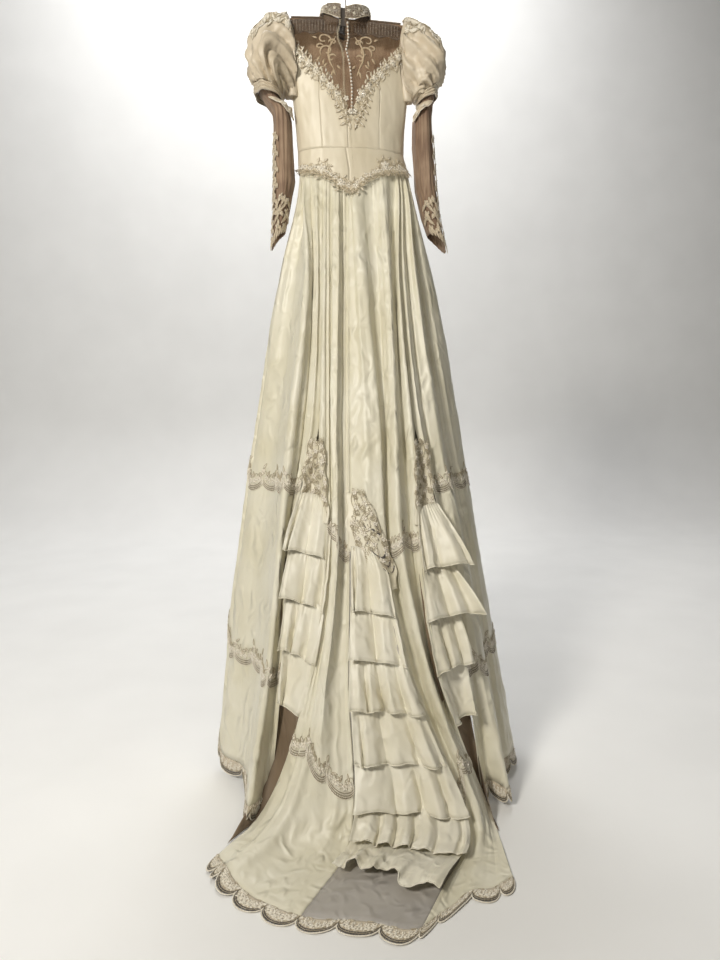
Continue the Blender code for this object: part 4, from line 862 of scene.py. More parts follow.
def bead_group():
    """Put a round bead on every point, each a little different in size."""
    group, start = node_group("beads", {"Radius": "Float", "Facets": "Int", "Uneven": "Float"})
    ball = add(group, "GeometryNodeMeshIcoSphere", links={"Radius": start["Radius"],
                                                          "Subdivisions": start["Facets"]})
    low = add(group, "ShaderNodeMath", {0: 1.0}, {1: start["Uneven"]}, operation="SUBTRACT")
    high = add(group, "ShaderNodeMath", {0: 1.0}, {1: start["Uneven"]}, operation="ADD")
    size = add(group, "FunctionNodeRandomValue", {"Seed": 11}, {2: low.outputs[0], 3: high.outputs[0]},
               data_type="FLOAT")
    spots = add(group, "GeometryNodeMeshToPoints", links={"Mesh": start["Geometry"]})
    placed = add(group, "GeometryNodeInstanceOnPoints",
                 links={"Points": spots.outputs[0], "Instance": ball.outputs[0],
                        "Scale": size.outputs[1]})
    return end_group(group, start, placed.outputs[0])


THREADS = thread_group()
BEADS = bead_group()


def grown(name, group, points, edges, material, **sizes):
    """Run a tree on points and edges, and keep the result as a plain mesh object."""
    mesh = bpy.data.meshes.new(name)
    mesh.from_pydata([tuple(p) for p in points], [tuple(e) for e in edges], [])
    source = bpy.data.objects.new(name + "_source", mesh)
    bpy.context.scene.collection.objects.link(source)
    grow = source.modifiers.new("grow", "NODES")
    grow.node_group = group
    sizes["Material"] = material
    for item in group.interface.items_tree:
        if item.in_out == "INPUT" and item.name in sizes:
            grow[item.identifier] = sizes[item.name]
    graph = bpy.context.evaluated_depsgraph_get()
    result = bpy.data.meshes.new_from_object(source.evaluated_get(graph))
    bpy.data.objects.remove(source)
    obj = bpy.data.objects.new(name, result)
    bpy.context.scene.collection.objects.link(obj)
    return obj


def piping(name, points, material, radius, sides):
    """A round cord sewn along a row of points."""
    run = [(i, i + 1) for i in range(len(points) - 1)]
    sewn(grown(name, THREADS, points, run, material, Radius=radius, Sides=sides))


# ---------------------------------------------------------------- skirt
def panel_patch(name):
    """A skirt panel's surface from its top to its hem, with gathers and soft creases."""
    first, last, top, per_fold, rows, out, _ = PANELS[name]
    spans = (RING.index(last) - RING.index(first)) % len(RING)
    w = ring_place(first, last, np.linspace(0.0, 1.0, spans * per_fold + 1))[None]
    down = np.linspace(0.0, 1.0, rows + 1)[:, None]
    hem = hem_level(w)
    t = mix(top, hem, down)
    t = np.concatenate((t, mix(hem, 1.0, np.linspace(0.0, 1.0, EDGE_ROWS + 1)[1:, None])))
    patch = Patch(skirt(w, t), out)
    edge = np.minimum(1.0, 6.0 * np.minimum(w - w[0, 0], w[0, -1] - w) / spans)
    creases = 0.0022 * wander(patch.grid * np.array((1.0, 1.0, 0.42)), 0.085, 3)
    creases -= 0.0026 * ease(t / 0.5) * np.abs(
        wander(patch.grid * np.array((1.0, 1.0, 0.6)), 0.060, 8))
    creases -= 0.0012 * ease((t - 0.25) / 0.4) * np.abs(wander(patch.grid, 0.028, 12))
    room = np.minimum(1.0, np.linalg.norm(np.gradient(patch.grid, axis=1), axis=2) * per_fold / 0.055)
    turn = 2.0 * math.pi * (0.87 * w + 0.30 * np.sin(2.1 * w) + 0.08 * np.sin(3.0 * t + w))
    folds = (0.0048 * room * (np.cos(turn) + 0.35 * np.cos(2.0 * turn + w)) * ease(t / 0.30)
             * (1.0 - ease((t - 0.86) / 0.14)))
    height = gathers(w, t) + (creases * ease(t / 0.15) + folds) * mix(0.15, 1.0, edge)
    if name == "centre":
        height = creases - TUCK * ease((np.linspace(0, 1, w.shape[1])[None] - 0.6) / 0.4)
    settle = ease((patch.grid[..., 2] - FLOOR) / 0.02) * 0.75 + 0.25
    patch.push(height * settle)
    return patch.part(0, rows + 1), patch.part(rows, None)


PATCHES, HEMS = {}, {}
for name in PANELS:
    PATCHES[name], HEMS[name] = panel_patch(name)
for name, patch in PATCHES.items():
    node = "insert_centre" if name == "centre" else "skirt_" + name
    # the centre insert takes the grey satin of painted shade
    cloth(node + "_cloth", patch, SATIN, PAINTED_SHADE_GREY if name == "centre" else IVORY, node,
          "gathered")


def insert_face(name, u, t, lap_left=0.0, lap_right=0.0):
    """A point of an insert, which sags inwards between its seams and may lap behind the panels."""
    first = RING.index(name + ":left")
    left, right = skirt(first + 0.0 * u, t), skirt(first + 2.0 + 0.0 * u, t)
    wide = np.linalg.norm(right - left, axis=-1)
    point = mix(left, right, u[..., None])
    if name == "centre":
        point = skirt(first + 2.0 * u, t)
    else:
        point[..., 1] += 4.0 * np.minimum(INSERTS[name][5], 0.45 * wide) * u * (1.0 - u)
    lap = lap_right * u ** 4 - lap_left * (1.0 - u) ** 4
    point += unit(right - left + (1e-5, 0.0, 0.0)) * lap[..., None]
    point[..., 1] += 0.5 * np.abs(lap) + TUCK * ease((u - 0.6) / 0.4)
    return point


def insert_patch(name):
    """A side insert, lapped behind the panels at both seams."""
    _, _, _, top, reach, _ = INSERTS[name]
    u, t = np.meshgrid(np.linspace(0.0, 1.0, 15), np.linspace(top + 0.008, reach + 0.10, 61))
    grid = insert_face(name, u, t, INSERT_LAP, INSERT_LAP)
    grid[..., 1] += INSERT_BACK
    grid[..., 2] = np.maximum(grid[..., 2], FLOOR + 0.003)
    return Patch(grid, (0, -1, 0.3))


for name in SIDES:
    node = "insert_" + name
    PATCHES[node] = insert_patch(name)
    # the side inserts take the brown satin of painted shade
    cloth(node + "_cloth", PATCHES[node], SATIN, SHADE, node, "hung")


# ---------------------------------------------------------------- ruffles
def levelled(name, u, t):
    """The shares at which a row across an insert is as high as its middle is at t."""
    goal = insert_face(name, 0.5 + 0.0 * t, t)[..., 2]
    found = t.copy()
    for column in range(u.shape[1]):
        fall = insert_face(name, u[0, column] + 0.0 * LEVELS, LEVELS)[:, 2]
        found[:, column] = np.interp(-goal[:, column], -fall, LEVELS)
    return mix(found, t, ease((t - 0.78) / 0.08)) if name == "centre" else found


def ruffle_patch(name, tier):
    """A gathered ruffle from its seam to its hem."""
    top, hem, waves, stand_left, stand_right, flare_left, flare_right = RUFFLES[name][tier]
    u, s = np.meshgrid(np.linspace(0, 1, 24 * waves + 22), np.linspace(0, 1, 14))
    lying = ease((top - 0.80) / 0.05)
    loops = lying * (0.030 * ease((u - 0.45) / 0.3) + 0.007 * np.sin(19.0 * u + 1.0))
    t = levelled(name, u, mix(top, hem + 0.005 * (u - 0.5) + loops, s))
    base = insert_face(name, u, t, *LAPS[name])
    base = mix(base, mix(base[:, :1], base[:, -1:], u[..., None]), 0.4)
    first = RING.index(name + ":left")
    waist = 0.5 * (top + hem)
    aside = skirt(first + 1.04, waist) - skirt(first + 0.96, waist)
    down = skirt(first + 1.0, waist + 0.01) - skirt(first + 1.0, waist - 0.01)
    out = unit(np.cross(down, aside))
    out = unit(np.array((0.35 * out[0], out[1], out[2])))
    stand = mix(stand_left, stand_right, u)
    swing = 2 * math.pi * waves * u + 1.7 * tier + 0.8 * np.sin(4.0 * u + 2.0 * tier)
    wave = mix(0.22, 0.36, 0.5 + 0.5 * np.sin(3.0 * tier + 5.0 * u)) * stand * np.sin(swing)
    # broad folds with tight valleys between them, and a few gathers that open below the seam
    broad = 1.25 * swing + 1.1 * np.sin(2.9 * u + tier) + 0.8 * np.sin(7.3 * u + 2.0 * tier)
    deep = np.minimum(1.0, 3.2 * np.sin(math.pi * np.clip(u, 0.02, 0.98)))
    folds = ((0.0150 - 0.0105 * lying) * deep * (1.8 * np.abs(np.cos(0.5 * broad)) - 1.1)
             * np.sin(0.5 * math.pi * s) ** 0.9)
    folds += 0.0014 * np.sin(2.6 * broad + tier + 2.5 * s) * np.sin(0.5 * math.pi * s)
    small = (0.0017 * np.sin(2 * math.pi * 5.0 * waves * u + 2.0 * np.sin(9.0 * u + tier))
             * (1.0 - ease(s / 0.42)) * mix(0.3, 1.0, 0.5 + 0.5 * np.sin(13.0 * u + tier)))
    off = RUFFLE_OFF + (stand + wave * s) * np.sin(0.5 * math.pi * s) ** 1.1 + small + folds
    shift = (flare_right * s * u ** 2 - flare_left * s * (1.0 - u) ** 2 + 0.0015 * s * np.cos(swing)
             + 0.0030 * s ** 2 * np.sin(broad + 0.7))
    grid = base + out * off[..., None]
    grid[..., 0] += shift
    grid[..., 1] += -0.2 * flare_right * s * u ** 2
    grid[..., 2] -= 0.25 * wave * s * s + 0.0022 * s * np.sin(0.9 * broad)
    grid[..., 2] = np.maximum(grid[..., 2], FLOOR + CAD_SATIN * 2 + 0.001)
    patch = Patch(grid, (0, -1, 0.3))
    return patch.push(0.0030 * wander(grid, 0.034, 4 + tier) * np.sin(0.5 * math.pi * s))


for name, tiers in RUFFLES.items():
    for tier in range(len(tiers)):
        node = "ruffle_%s_%d" % (name, tier + 1)
        patch = ruffle_patch(name, tier)
        cloth(node + "_cloth", patch, RUFFLE, FRILL, node, "gathered")
        piping(node + "_rolled_hem", patch.grid[-1], FRILL, ROLLED_HEM, 5)


# ---------------------------------------------------------------- bodice, yoke and collar
def satin_top(edge):
    """The upper edge of the satin at an angle: a neckline, then down to the underarm."""
    def top(angle):
        z = np.full(np.shape(angle), UNDERARM_Z)
        for _ in range(4):
            z = edge(bodice_x(angle, z))
        return mix(z, UNDERARM_Z, ease((np.abs(np.sin(np.radians(angle))) - 0.915) / 0.08))
    return top


def front_arch(x):
    """The upper edge of the satin in front."""
    return -0.250 - 0.110 * (1.0 - np.minimum(1.0, np.abs(x - 0.004) / 0.155) ** 1.6)


def low_x(angle):
    """Where an angle meets the basque."""
    return table(BODY, -0.58, 1) + table(BODY, -0.58, 2) * np.sin(np.radians(angle))


def bodice_patch(first, last, top, bottom, columns, side):
    """A bodice panel between two angles, with faint pulls and a rolled seam at each side."""
    angle = np.linspace(first, last, columns + 1)[None]
    down = np.linspace(0.0, 1.0, 27)[:, None]
    z = mix(top(angle), bottom(low_x(angle)), down)
    middle = math.radians(0.5 * (first + last))
    patch = Patch(body(bodice_x(angle, z), z, side), (math.sin(middle), -math.cos(middle), 0))
    u = np.linspace(0.0, 1.0, columns + 1)[None]
    pulls = 0.0014 * wander(patch.grid * np.array((1.0, 1.0, 0.22)), 0.045, 5)
    pulls += 0.0005 * wander(patch.grid * np.array((1.0, 1.0, 0.5)), 0.022, 15)
    seam = -0.0002 * np.exp(-(np.minimum(u, 1.0 - u) * columns / 1.6) ** 2)
    return patch.push(pulls * ease(6 * np.minimum(u, 1 - u)) + seam)


def level(z):
    """A seam at one height."""
    return lambda x: z + 0.0 * x


def basque_low(x):
    """Where the satin ends over the skirt's seam."""
    return basque_z(x) + 0.0004


SATIN_PIECES = [
    # piece, first, last angle, upper edge, lower edge, columns, back or front
    ("bodice_side_left", -89.6, -34.0, satin_top(neckline_z), level(WAIST_Z - 0.0012), 36, -1.0),
    ("bodice_back_left", -34.25, -5.3, satin_top(neckline_z), level(WAIST_Z - 0.0012), 22, -1.0),
    ("bodice_back_right", -5.45, 29.25, satin_top(neckline_z), level(WAIST_Z - 0.0012), 26, -1.0),
    ("bodice_side_right", 29.0, 89.6, satin_top(neckline_z), level(WAIST_Z - 0.0012), 38, -1.0),
    ("bodice_front", 90.4, 269.6, satin_top(front_arch), basque_low, 72, 1.0),
    ("basque_left", -89.6, -8.2, level(WAIST_Z), basque_low, 40, -1.0),
    ("basque_right", -8.35, 89.6, level(WAIST_Z), basque_low, 46, -1.0),
]
for node, first, last, top, bottom, columns, side in SATIN_PIECES:
    cloth(node + "_cloth", bodice_patch(first, last, top, bottom, columns, side), SATIN, CREAM,
          node, "hung")


def yoke_patch(x_from, x_to, z_of, bottom, side, columns):
    """A net yoke piece from its upper edge to where it is tucked under the satin."""
    u = np.linspace(0.0, 1.0, columns + 1)[None]
    down = np.linspace(0.0, 1.0, 23)[:, None]
    z = z_of(u, down)
    x = mix(x_from(z), x_to(z), u)
    top, low = neck_edge(x, side)[0], bottom(x) - TUCK_LAP
    z = mix(top, low, down ** 1.6)
    tuck = TUCK * ease(1.0 - (z - low) / 0.022)
    return Patch(yoke(x, z, side, -tuck), (0, side, 0))


def over_v(x_from, x_to):
    """Heights of a back net from the shoulder to the V of the satin between two places."""
    return lambda u, d: mix(-0.14, neckline_z(mix(x_from, x_to, u)), d ** 1.3)


YOKES = {
    # piece: left edge, right edge, heights, lower edge, back or front, columns, net
    "back_left": (lambda z: armhole_x(z, -1) + 0.001, lambda z: table(LOOP_EDGE, z, 1) - 0.001,
                  over_v(-0.154, -0.01), neckline_z, -1.0, 40, YOKE_NET),
    "back_right": (lambda z: mix(table(LOOP_EDGE, z, 1) + 0.0022, -0.006,
                                 1.0 - ease((KEYHOLE_END_Z + 0.012 - z) / 0.02)),
                   lambda z: armhole_x(z, 1) - 0.001,
                   over_v(0.01, 0.154), neckline_z, -1.0, 40, YOKE_NET),
    "front": (lambda z: armhole_x(z, -1) + 0.001, lambda z: armhole_x(z, 1) - 0.001,
              lambda u, d: mix(-0.14, -0.30, d ** 1.3) + 0 * u, front_arch, 1.0, 60, YOKE_LINING),
}
for name, (*shape, material) in YOKES.items():
    cloth("yoke_%s_net" % name, yoke_patch(*shape), NET, material, "yoke_" + name, "hung")


def shoulder_binding(name, first, last):
    """A dark net binding over the seam along one shoulder."""
    x = np.linspace(first, last, 40)
    top = neck_edge(x, -1.0)[0]
    points = xyz(x, 0.0 * x - 0.0015, top - 0.0030)
    piping("shoulder_binding_" + name, points, STAND_NET, 0.0028, 10)


shoulder_binding("left", -0.157, -0.060)
shoulder_binding("right", 0.056, 0.160)


def collar_patch():
    """The stand collar, open at the centre back."""
    start = math.degrees(math.asin(COLLAR_OPENING[1] / COLLAR_HALF_X))
    end = 360.0 + math.degrees(math.asin(COLLAR_OPENING[0] / COLLAR_HALF_X))
    angle = np.linspace(start, end, 121)[None]
    up = np.linspace(1.0, 0.0, 7)[:, None]
    fold = np.minimum(angle % 360.0, 360.0 - angle % 360.0)
    top, bottom = table(COLLAR_EDGES, fold, 1), table(COLLAR_EDGES, fold, 2) + 0.0004
    narrow = 1.0 - 0.06 * up
    turn = np.radians(angle)
    grid = xyz(COLLAR_HALF_X * narrow * np.sin(turn),
               COLLAR_CENTRE_Y - COLLAR_HALF_Y * narrow * np.cos(turn), mix(bottom, top, up))
    return Patch(grid, (0, 1, 0))


COLLAR = collar_patch()
cloth("collar_band", COLLAR, COLLAR_WALL, BAND, "collar", "hung")


def neck_stand():
    """The net under the collar, which joins it to the yoke."""
    turn, up = np.meshgrid(np.radians(np.linspace(-4.0, 345.0, 91)), np.linspace(0.0, 1.0, 4))
    fold = np.degrees(np.minimum(turn % (2 * math.pi), 2 * math.pi - turn % (2 * math.pi)))
    top = table(COLLAR_EDGES, fold, 2) + 0.004
    grid = xyz((COLLAR_HALF_X - 0.006) * np.sin(turn),
               COLLAR_CENTRE_Y - (COLLAR_HALF_Y - 0.012) * np.cos(turn),
               mix(top, np.minimum(top - 0.006, -0.160), up))
    cloth("neck_stand_net", Patch(grid, (0, 1, 0)), FACING, STAND_NET, "collar", "hung")


neck_stand()


def armhole_facing(name):
    """A satin strip inside each armhole, between the bodice and the puff."""
    z, u = np.meshgrid(np.linspace(-0.150, -0.366, 25), np.linspace(-1.0, 1.0, 7), indexing="ij")
    x = armhole_x(z, SIDES[name]) + 0.013 * u
    patch = Patch(xyz(x, -0.026 - 0.006 * np.cos(1.5 * u), z), (0, -1, 0))
    cloth("armhole_facing_" + name, patch, FACING, PUFF, "bodice_side_" + name, "hung")


for name in SIDES:
    armhole_facing(name)


# ---------------------------------------------------------------- puffs and sleeves
def puff_ring(name, along, turn):
    """A point of the puff; along runs from the armhole to the band."""
    rows = np.array(PUFFS[name])
    spot = np.minimum(along * (len(rows) - 1), len(rows) - 1.0001)
    row = spot.astype(int)
    f = (spot - row)[..., None]
    weights = (-0.5 * f + f * f - 0.5 * f ** 3, 1 - 2.5 * f * f + 1.5 * f ** 3,
               0.5 * f + 2 * f * f - 1.5 * f ** 3, -0.5 * f * f + 0.5 * f ** 3)
    sums = sum(w * rows[np.clip(row + k, 0, len(rows) - 1)] for w, k in zip(weights, (-1, 0, 1, 2)))
    out_x, out_z, in_x, in_z, depth, gather = (sums[..., c] for c in range(6))
    share = 0.5 + 0.5 * np.cos(turn)
    ripple = gather * np.minimum(1.0, 1.6 * share) * np.sin(6 * turn + 1.1 * np.sin(turn))
    away = unit(xyz(out_x - in_x, 0.0, out_z - in_z))
    point = xyz(mix(in_x, out_x, share), SLEEVE_CENTRE_Y * along - depth * np.sin(turn),
                mix(in_z, out_z, share))
    edge = armhole_x(point[..., 2], SIDES[name]) - SIDES[name] * 0.0030
    point[..., 0] = mix(point[..., 0], edge, 1.0 - ease(along * 4.0))
    swell = away * np.cos(turn)[..., None] - xyz(0.0, np.sin(turn), 0.0)
    return point + 0.6 * ripple[..., None] * swell


def puff_patch(name):
    """A gathered puff: pleats run from the armhole seam, slacken, and are drawn into the band."""
    along = np.linspace(0.0, 1.0, 33)[:, None]
    turn = np.linspace(0.0, 2.0 * math.pi, 129)[None] + 0 * along
    along = along + 0 * turn
    a = turn - SIDES[name] * 0.80 * np.sin(math.pi * along)
    pleats = 5.5 * a + 0.9 * np.sin(a) + 0.8 * np.sin(3 * along)
    shirring = 12.5 * a + 1.6 * np.sin(2 * a)
    deep = 0.0125 * (2.0 * np.abs(np.cos(pleats)) ** 0.7 - 1.3)
    fine = 0.0064 * (2.0 * np.abs(np.cos(shirring)) ** 0.8 - 1.2)
    ends = np.maximum(1.0 - ease(along / 0.45), ease((along - 0.50) / 0.45))
    patch = Patch(puff_ring(name, along, turn), (0, -1, 0), (0.25, 0.5))
    slack = 0.0050 * wander(patch.grid, 0.050, 21) - 0.0045 * np.abs(wander(patch.grid, 0.034, 25))
    height = ((deep * mix(0.72, 1.0, ends) + fine * mix(0.40, 1.0, ends))
              * ease(along / 0.05) * ease((1.0 - along) / 0.06)
              + slack * np.sin(math.pi * along) ** 0.5)
    height[:, -1] = height[:, 0]
    return patch.push(height * ease((0.5 + 0.5 * np.cos(turn)) * 3.0 + 0.25))


def band_patch(name):
    """The band under a puff, in three rounded tucks."""
    down = np.linspace(0.0, 1.0, 19)[:, None]
    turn = np.linspace(0.0, 2.0 * math.pi, 65)[None]
    ring = puff_ring(name, np.ones_like(turn), turn)
    ends = puff_ring(name, np.ones(2), np.array((0.0, math.pi)))
    middle = 0.5 * (ends[0] + ends[1])
    swell = 1.0 + 0.10 * np.abs(np.sin(math.pi * BAND_TUCKS * down)) ** 0.6 - 0.02 * down
    grid = middle + (ring - middle) * swell[..., None]
    grid[..., 2] = (ring[..., 2] - 0.0010
                    - BAND_DEPTH * down * (0.75 + 0.25 * np.cos(turn)))
    return Patch(grid, (0, -1, 0), (0.25, 0.5))


def sleeve(name, u, v, out=0.0):
    """A point of a net sleeve; u goes round from the outer side by the back, v goes down."""
    rows, side = SLEEVES[name], SIDES[name]
    turn = 2 * math.pi * np.asarray(u, float)
    outer = 0.5 + 0.5 * np.cos(turn)
    z = mix(rows[0][0] - 0.010 * (1.0 - outer), rows[-1][0] + CUFF_INNER_RISE * (1.0 - outer ** 2), v)
    return xyz(table(rows, z, 1) + side * (table(rows, z, 2) + out) * np.cos(turn),
               SLEEVE_CENTRE_Y - (table(rows, z, 3) + out) * np.sin(turn), z)


for name in SIDES:
    PATCHES["puff_" + name] = puff_patch(name)
    for node, patch, fullness in (("puff_" + name, PATCHES["puff_" + name], WAVE_FULLNESS),
                                  ("puff_band_" + name, band_patch(name), TUCK_FULLNESS)):
        cloth(node + "_cloth", patch, SATIN, PUFF, node, "gathered", True)
    u, v = np.meshgrid(np.linspace(0, 1, 73), np.linspace(0, 1, 33))
    tube = Patch(sleeve(name, u, v), (0, -1, 0), (0.25, 0.5))
    pulls = (0.0012 * np.sin(2 * math.pi * 9 * u + 2.0 * np.sin(5 * v))
             * ease(v * 8) * ease((1 - v) * 5))
    tube.push(pulls + 0.0010 * np.sin(2 * math.pi * (17 * u) + 3.0 * v))
    cloth("sleeve_%s_net" % name, tube, NET, SLEEVE_NET, "sleeve_" + name, "hung", True)


# ---------------------------------------------------------------- lace
def arc(count):
    """Shares along a blade."""
    return np.linspace(0.0, 1.0, count)


def flat_path(x, y):
    """A path on a chart from its metres across and down."""
    return np.column_stack(np.broadcast_arrays(x, y))


def walk(x, y, swing, step):
    """A path from a place in steps whose directions are given."""
    return flat_path(x + np.cumsum(np.cos(swing) * step), y + np.cumsum(np.sin(swing) * step))


class Lace:
    """Cut lace on a surface.  Its chart takes metres across, metres down and height to a point."""

    def __init__(self, chart, lift=0.0012, seed=1):
        self.chart, self.lift = chart, lift
        self.rng = np.random.default_rng(seed)
        self.flat, self.faces, self.runs, self.edges, self.spots = [], [], [], [], []
        self.size = {"flat": 0, "runs": 0}

    def blade(self, path, half, cup=0.0009, lift=0.0):
        """A petal, leaf or ribbon along a path, crowned across."""
        path = np.asarray(path, float)
        way = np.gradient(path, axis=0)
        side = unit(np.stack((-way[:, 1], way[:, 0]), axis=1))
        k = np.array((-1.0, 0.0, 1.0))
        half = np.asarray(half, float)[:, None] * k[None]
        rise = self.lift + lift + cup * (1.0 - k ** 2)[None] + 0.0 * half
        self.flat.append(np.stack((path[:, :1] + side[:, :1] * half,
                                   path[:, 1:] + side[:, 1:] * half, rise), axis=-1).reshape(-1, 3))
        wide = len(k)
        index = self.size["flat"] + np.arange(len(path))[:, None] * wide + np.arange(wide)[None]
        self.faces.append(np.stack((index[:-1, :-1], index[:-1, 1:], index[1:, 1:], index[1:, :-1]),
                                   axis=-1).reshape(-1, 4))
        self.size["flat"] += len(path) * wide

    def thread(self, path, lift=0.0006):
        """A cord along a path."""
        path = np.asarray(path, float)
        self.runs.append(np.column_stack((path, np.full(len(path), self.lift + lift))))
        start = self.size["runs"]
        self.edges += [(start + i, start + i + 1) for i in range(len(path) - 1)]
        self.size["runs"] += len(path)

    def bead(self, x, y, lift=0.0014):
        """A bead or a sequin."""
        self.spots.append((x, y, self.lift + lift))

    def petal(self, x, y, turn, near, far, wide, lift, cup):
        """One round petal of a flower."""
        s = arc(4)
        reach = mix(near, far, s)
        self.blade(flat_path(x + reach * math.cos(turn), y + reach * math.sin(turn)),
                   wide * np.sin(math.pi * (0.10 + 0.86 * s ** 0.8)) ** 0.8, cup, lift)

    def bloom(self, x, y, size, petals=5):
        """A flower: round petals, a smaller ring within and beads in the middle."""
        turn = self.rng.uniform(0.0, 6.3)
        for k in range(petals):
            self.petal(x, y, turn + 2 * math.pi * k / petals, 0.14 * size, size, 0.46 * size,
                       0.0004 * (k % 2), 0.0013)
        if size > 0.0100:
            for k in range(petals):
                self.petal(x, y, turn + 2 * math.pi * (k + 0.5) / petals, 0.05 * size, 0.56 * size,
                           0.26 * size, 0.0013, 0.0009)
        self.bead(x, y, 0.0026)
        for k in range(3 if size > 0.0100 else 0):
            spot = turn + 2.1 * k
            self.bead(x + 0.16 * size * math.cos(spot), y + 0.16 * size * math.sin(spot), 0.0023)

    def leaf(self, x, y, turn, length, wide, bend=0.5, outlined=True):
        """A pointed leaf with a corded edge."""
        s = arc(5)
        path = walk(x, y, turn + bend * (s - 0.35), length / 4.0)
        half = wide * np.sin(math.pi * np.clip(s, 0.02, 0.985) ** 0.8) ** 0.9
        self.blade(path, half, 0.0008)
        if outlined:
            way = unit(np.gradient(path, axis=0))
            side = np.stack((-way[:, 1], way[:, 0]), axis=1) * half[:, None]
            self.thread(np.concatenate((path - side, (path + side)[::-1])))

    def scroll(self, x, y, size, turn, hand, half=0.0022):
        """A tapering ribbon that curls in on itself."""
        s = arc(12)
        swing = turn + hand * 1.5 * math.pi * (0.35 * s + 1.15 * s ** 2.2)
        path = walk(x, y, swing, size * (1.30 - 0.95 * s) / 5.6)
        taper = np.clip(1.15 - 0.75 * s, 0.2, 1.0) * np.minimum(1.0, 0.3 + 5.0 * s)
        self.blade(path, half * taper, 0.0006)
        self.bead(*path[-1])

    def tendril(self, x, y, turn, length, hand):
        """A fine curling stem with a small leaf at its end."""
        swing = turn + hand * 1.15 * math.pi * arc(9) ** 1.6
        path = walk(x, y, swing, length / 8.0)
        self.thread(path, 0.0008)
        self.leaf(*path[-2], swing[-1], 0.34 * length, 0.0022, 0.6 * hand, False)

    def rosette(self, x, y, size, petals=6):
        """A flower drawn in cord alone: a petalled round and a smaller one inside it."""
        angle = np.linspace(0.0, 2.0 * math.pi, 4 * petals + 1)
        for k, share in enumerate((1.0, 0.55)):
            reach = share * size * (0.70 + 0.30 * np.abs(np.cos(0.5 * petals * angle + 0.6 * k)))
            self.thread(flat_path(x + reach * np.cos(angle), y + reach * np.sin(angle)), 0.0005)
        self.bead(x, y)

    def spiral(self, x, y, radius, start, turns, half=0.0028):
        """A flat ribbon that winds in round a centre."""
        s = arc(21)
        angle = start + 2.0 * math.pi * turns * s
        reach = radius * (1.0 - 0.80 * s)
        self.blade(flat_path(x + reach * np.cos(angle), y + reach * np.sin(angle)),
                   half * np.minimum(1.0, 0.25 + 4.0 * s) * (1.15 - 0.55 * s), 0.0006)

    def build(self, name, cloth_material, thread_material, bead_material, radius=0.0008,
              bead=0.0010, node=None):
        """Make the blades, the threads and the beads of this lace, which may stand for a node."""
        flat, runs, spots = (np.concatenate(rows) if rows and np.ndim(rows[0]) > 1 else np.array(rows)
                             for rows in (self.flat, self.runs, self.spots))
        if len(flat):
            points = self.chart(*flat.T)
            obj = mesh_object(name, points, self.outwards(points, flat), cloth_material)
            wall = obj.modifiers.new("wall", "SOLIDIFY")
            wall.thickness, wall.offset = LACE_LEAF, -1.0
            sewn(obj, node)
        if len(runs):
            obj = grown(name + "_cord", THREADS, self.chart(*runs.T), self.edges, thread_material,
                        Radius=radius, Sides=4)
            sewn(obj, None if len(flat) else node)
        if len(spots):
            obj = grown(name + "_beads", BEADS, self.chart(*spots.T), [], bead_material,
                        Radius=bead, Facets=1, Uneven=0.2)
            sewn(obj)

    def outwards(self, points, flat):
        """The blades' faces, turned so that they look away from the cloth."""
        faces = np.concatenate(self.faces)
        higher = self.chart(*(flat + (0.0, 0.0, 0.001)).T) - points
        a, b, d = (points[faces[:, k]] for k in (0, 1, 3))
        away = (np.cross(b - a, d - a) * higher[faces[:, 0]]).sum(axis=1)
        faces[away < 0] = faces[away < 0][:, ::-1]
        return faces


def along_row(patch, level):
    """A chart along a patch at one level: equal lengths across, true lengths down."""
    u = np.linspace(0.0, 1.0, 4 * patch.grid.shape[1])
    row = patch.at(u, level)
    across = np.concatenate(([0.0], np.cumsum(np.linalg.norm(np.diff(row, axis=0), axis=1))))
    long = np.linalg.norm(np.diff(patch.grid, axis=0), axis=2).sum(axis=0)
    columns = np.linspace(0.0, 1.0, len(long))

    def chart(x, y, out):
        place = np.interp(x, across, u)
        return patch.at(place, level + y / np.interp(place, columns, long), out)
    return chart, across[-1]


def whole(patch, width, length):
    """A chart over a whole patch, evenly spread."""
    return lambda x, y, out: patch.at(x / width, y / length, out)


def upper_chart(x, y, out):
    """A chart of the upper back: x as it is, y down from the hook."""
    return upper_back(x, -y, out)


def waist_chart(x, y, out):
    """The basque, where the lace's lower edge stands off over the skirt."""
    low = np.clip((basque_z(x) + 0.024 + y) / 0.035, 0.0, 1.2)
    return body(x, -y, -1.0, out + 0.0060 * low ** 1.5)


def scallop(f):
    """The round of a scallop, from 0 at its joints to 1 in the middle."""
    return np.sqrt(np.maximum(0.0, 1.0 - (2.0 * f - 1.0) ** 2))


class Scallops:
    """A row of scallops along a chart: their number and pitch, and their depth at the joints and
    in the middle."""

    def __init__(self, chart, width, count, joint, depth):
        self.chart, self.count, self.pitch = chart, count, width / count
        self.joint, self.depth = joint, depth

    def edge(self, f):
        """The depth of the edge a share f of the way across a scallop."""
        return self.joint + (self.depth - self.joint) * scallop(f)

    def arcs(self, lace, offsets, lift):
        """Cords that follow the scallops, at distances in from their edge."""
        f = 0.5 - 0.5 * np.cos(math.pi * arc(11))
        for i in range(self.count):
            for offset in offsets:
                lace.thread(flat_path(self.pitch * (i + f), self.edge(f) - offset), lift)

    def bars(self, lace, first, last, every):
        """Ladder bars between two of the cords."""
        bars = int(self.pitch / every)
        for i in range(self.count):
            for f in np.arange(1, bars) / bars:
                x, lean = self.pitch * (i + f), (0.5 - f) * 0.35 * (last - first)
                lace.thread([(x + lean, self.edge(f) - last), (x, self.edge(f) - first)])


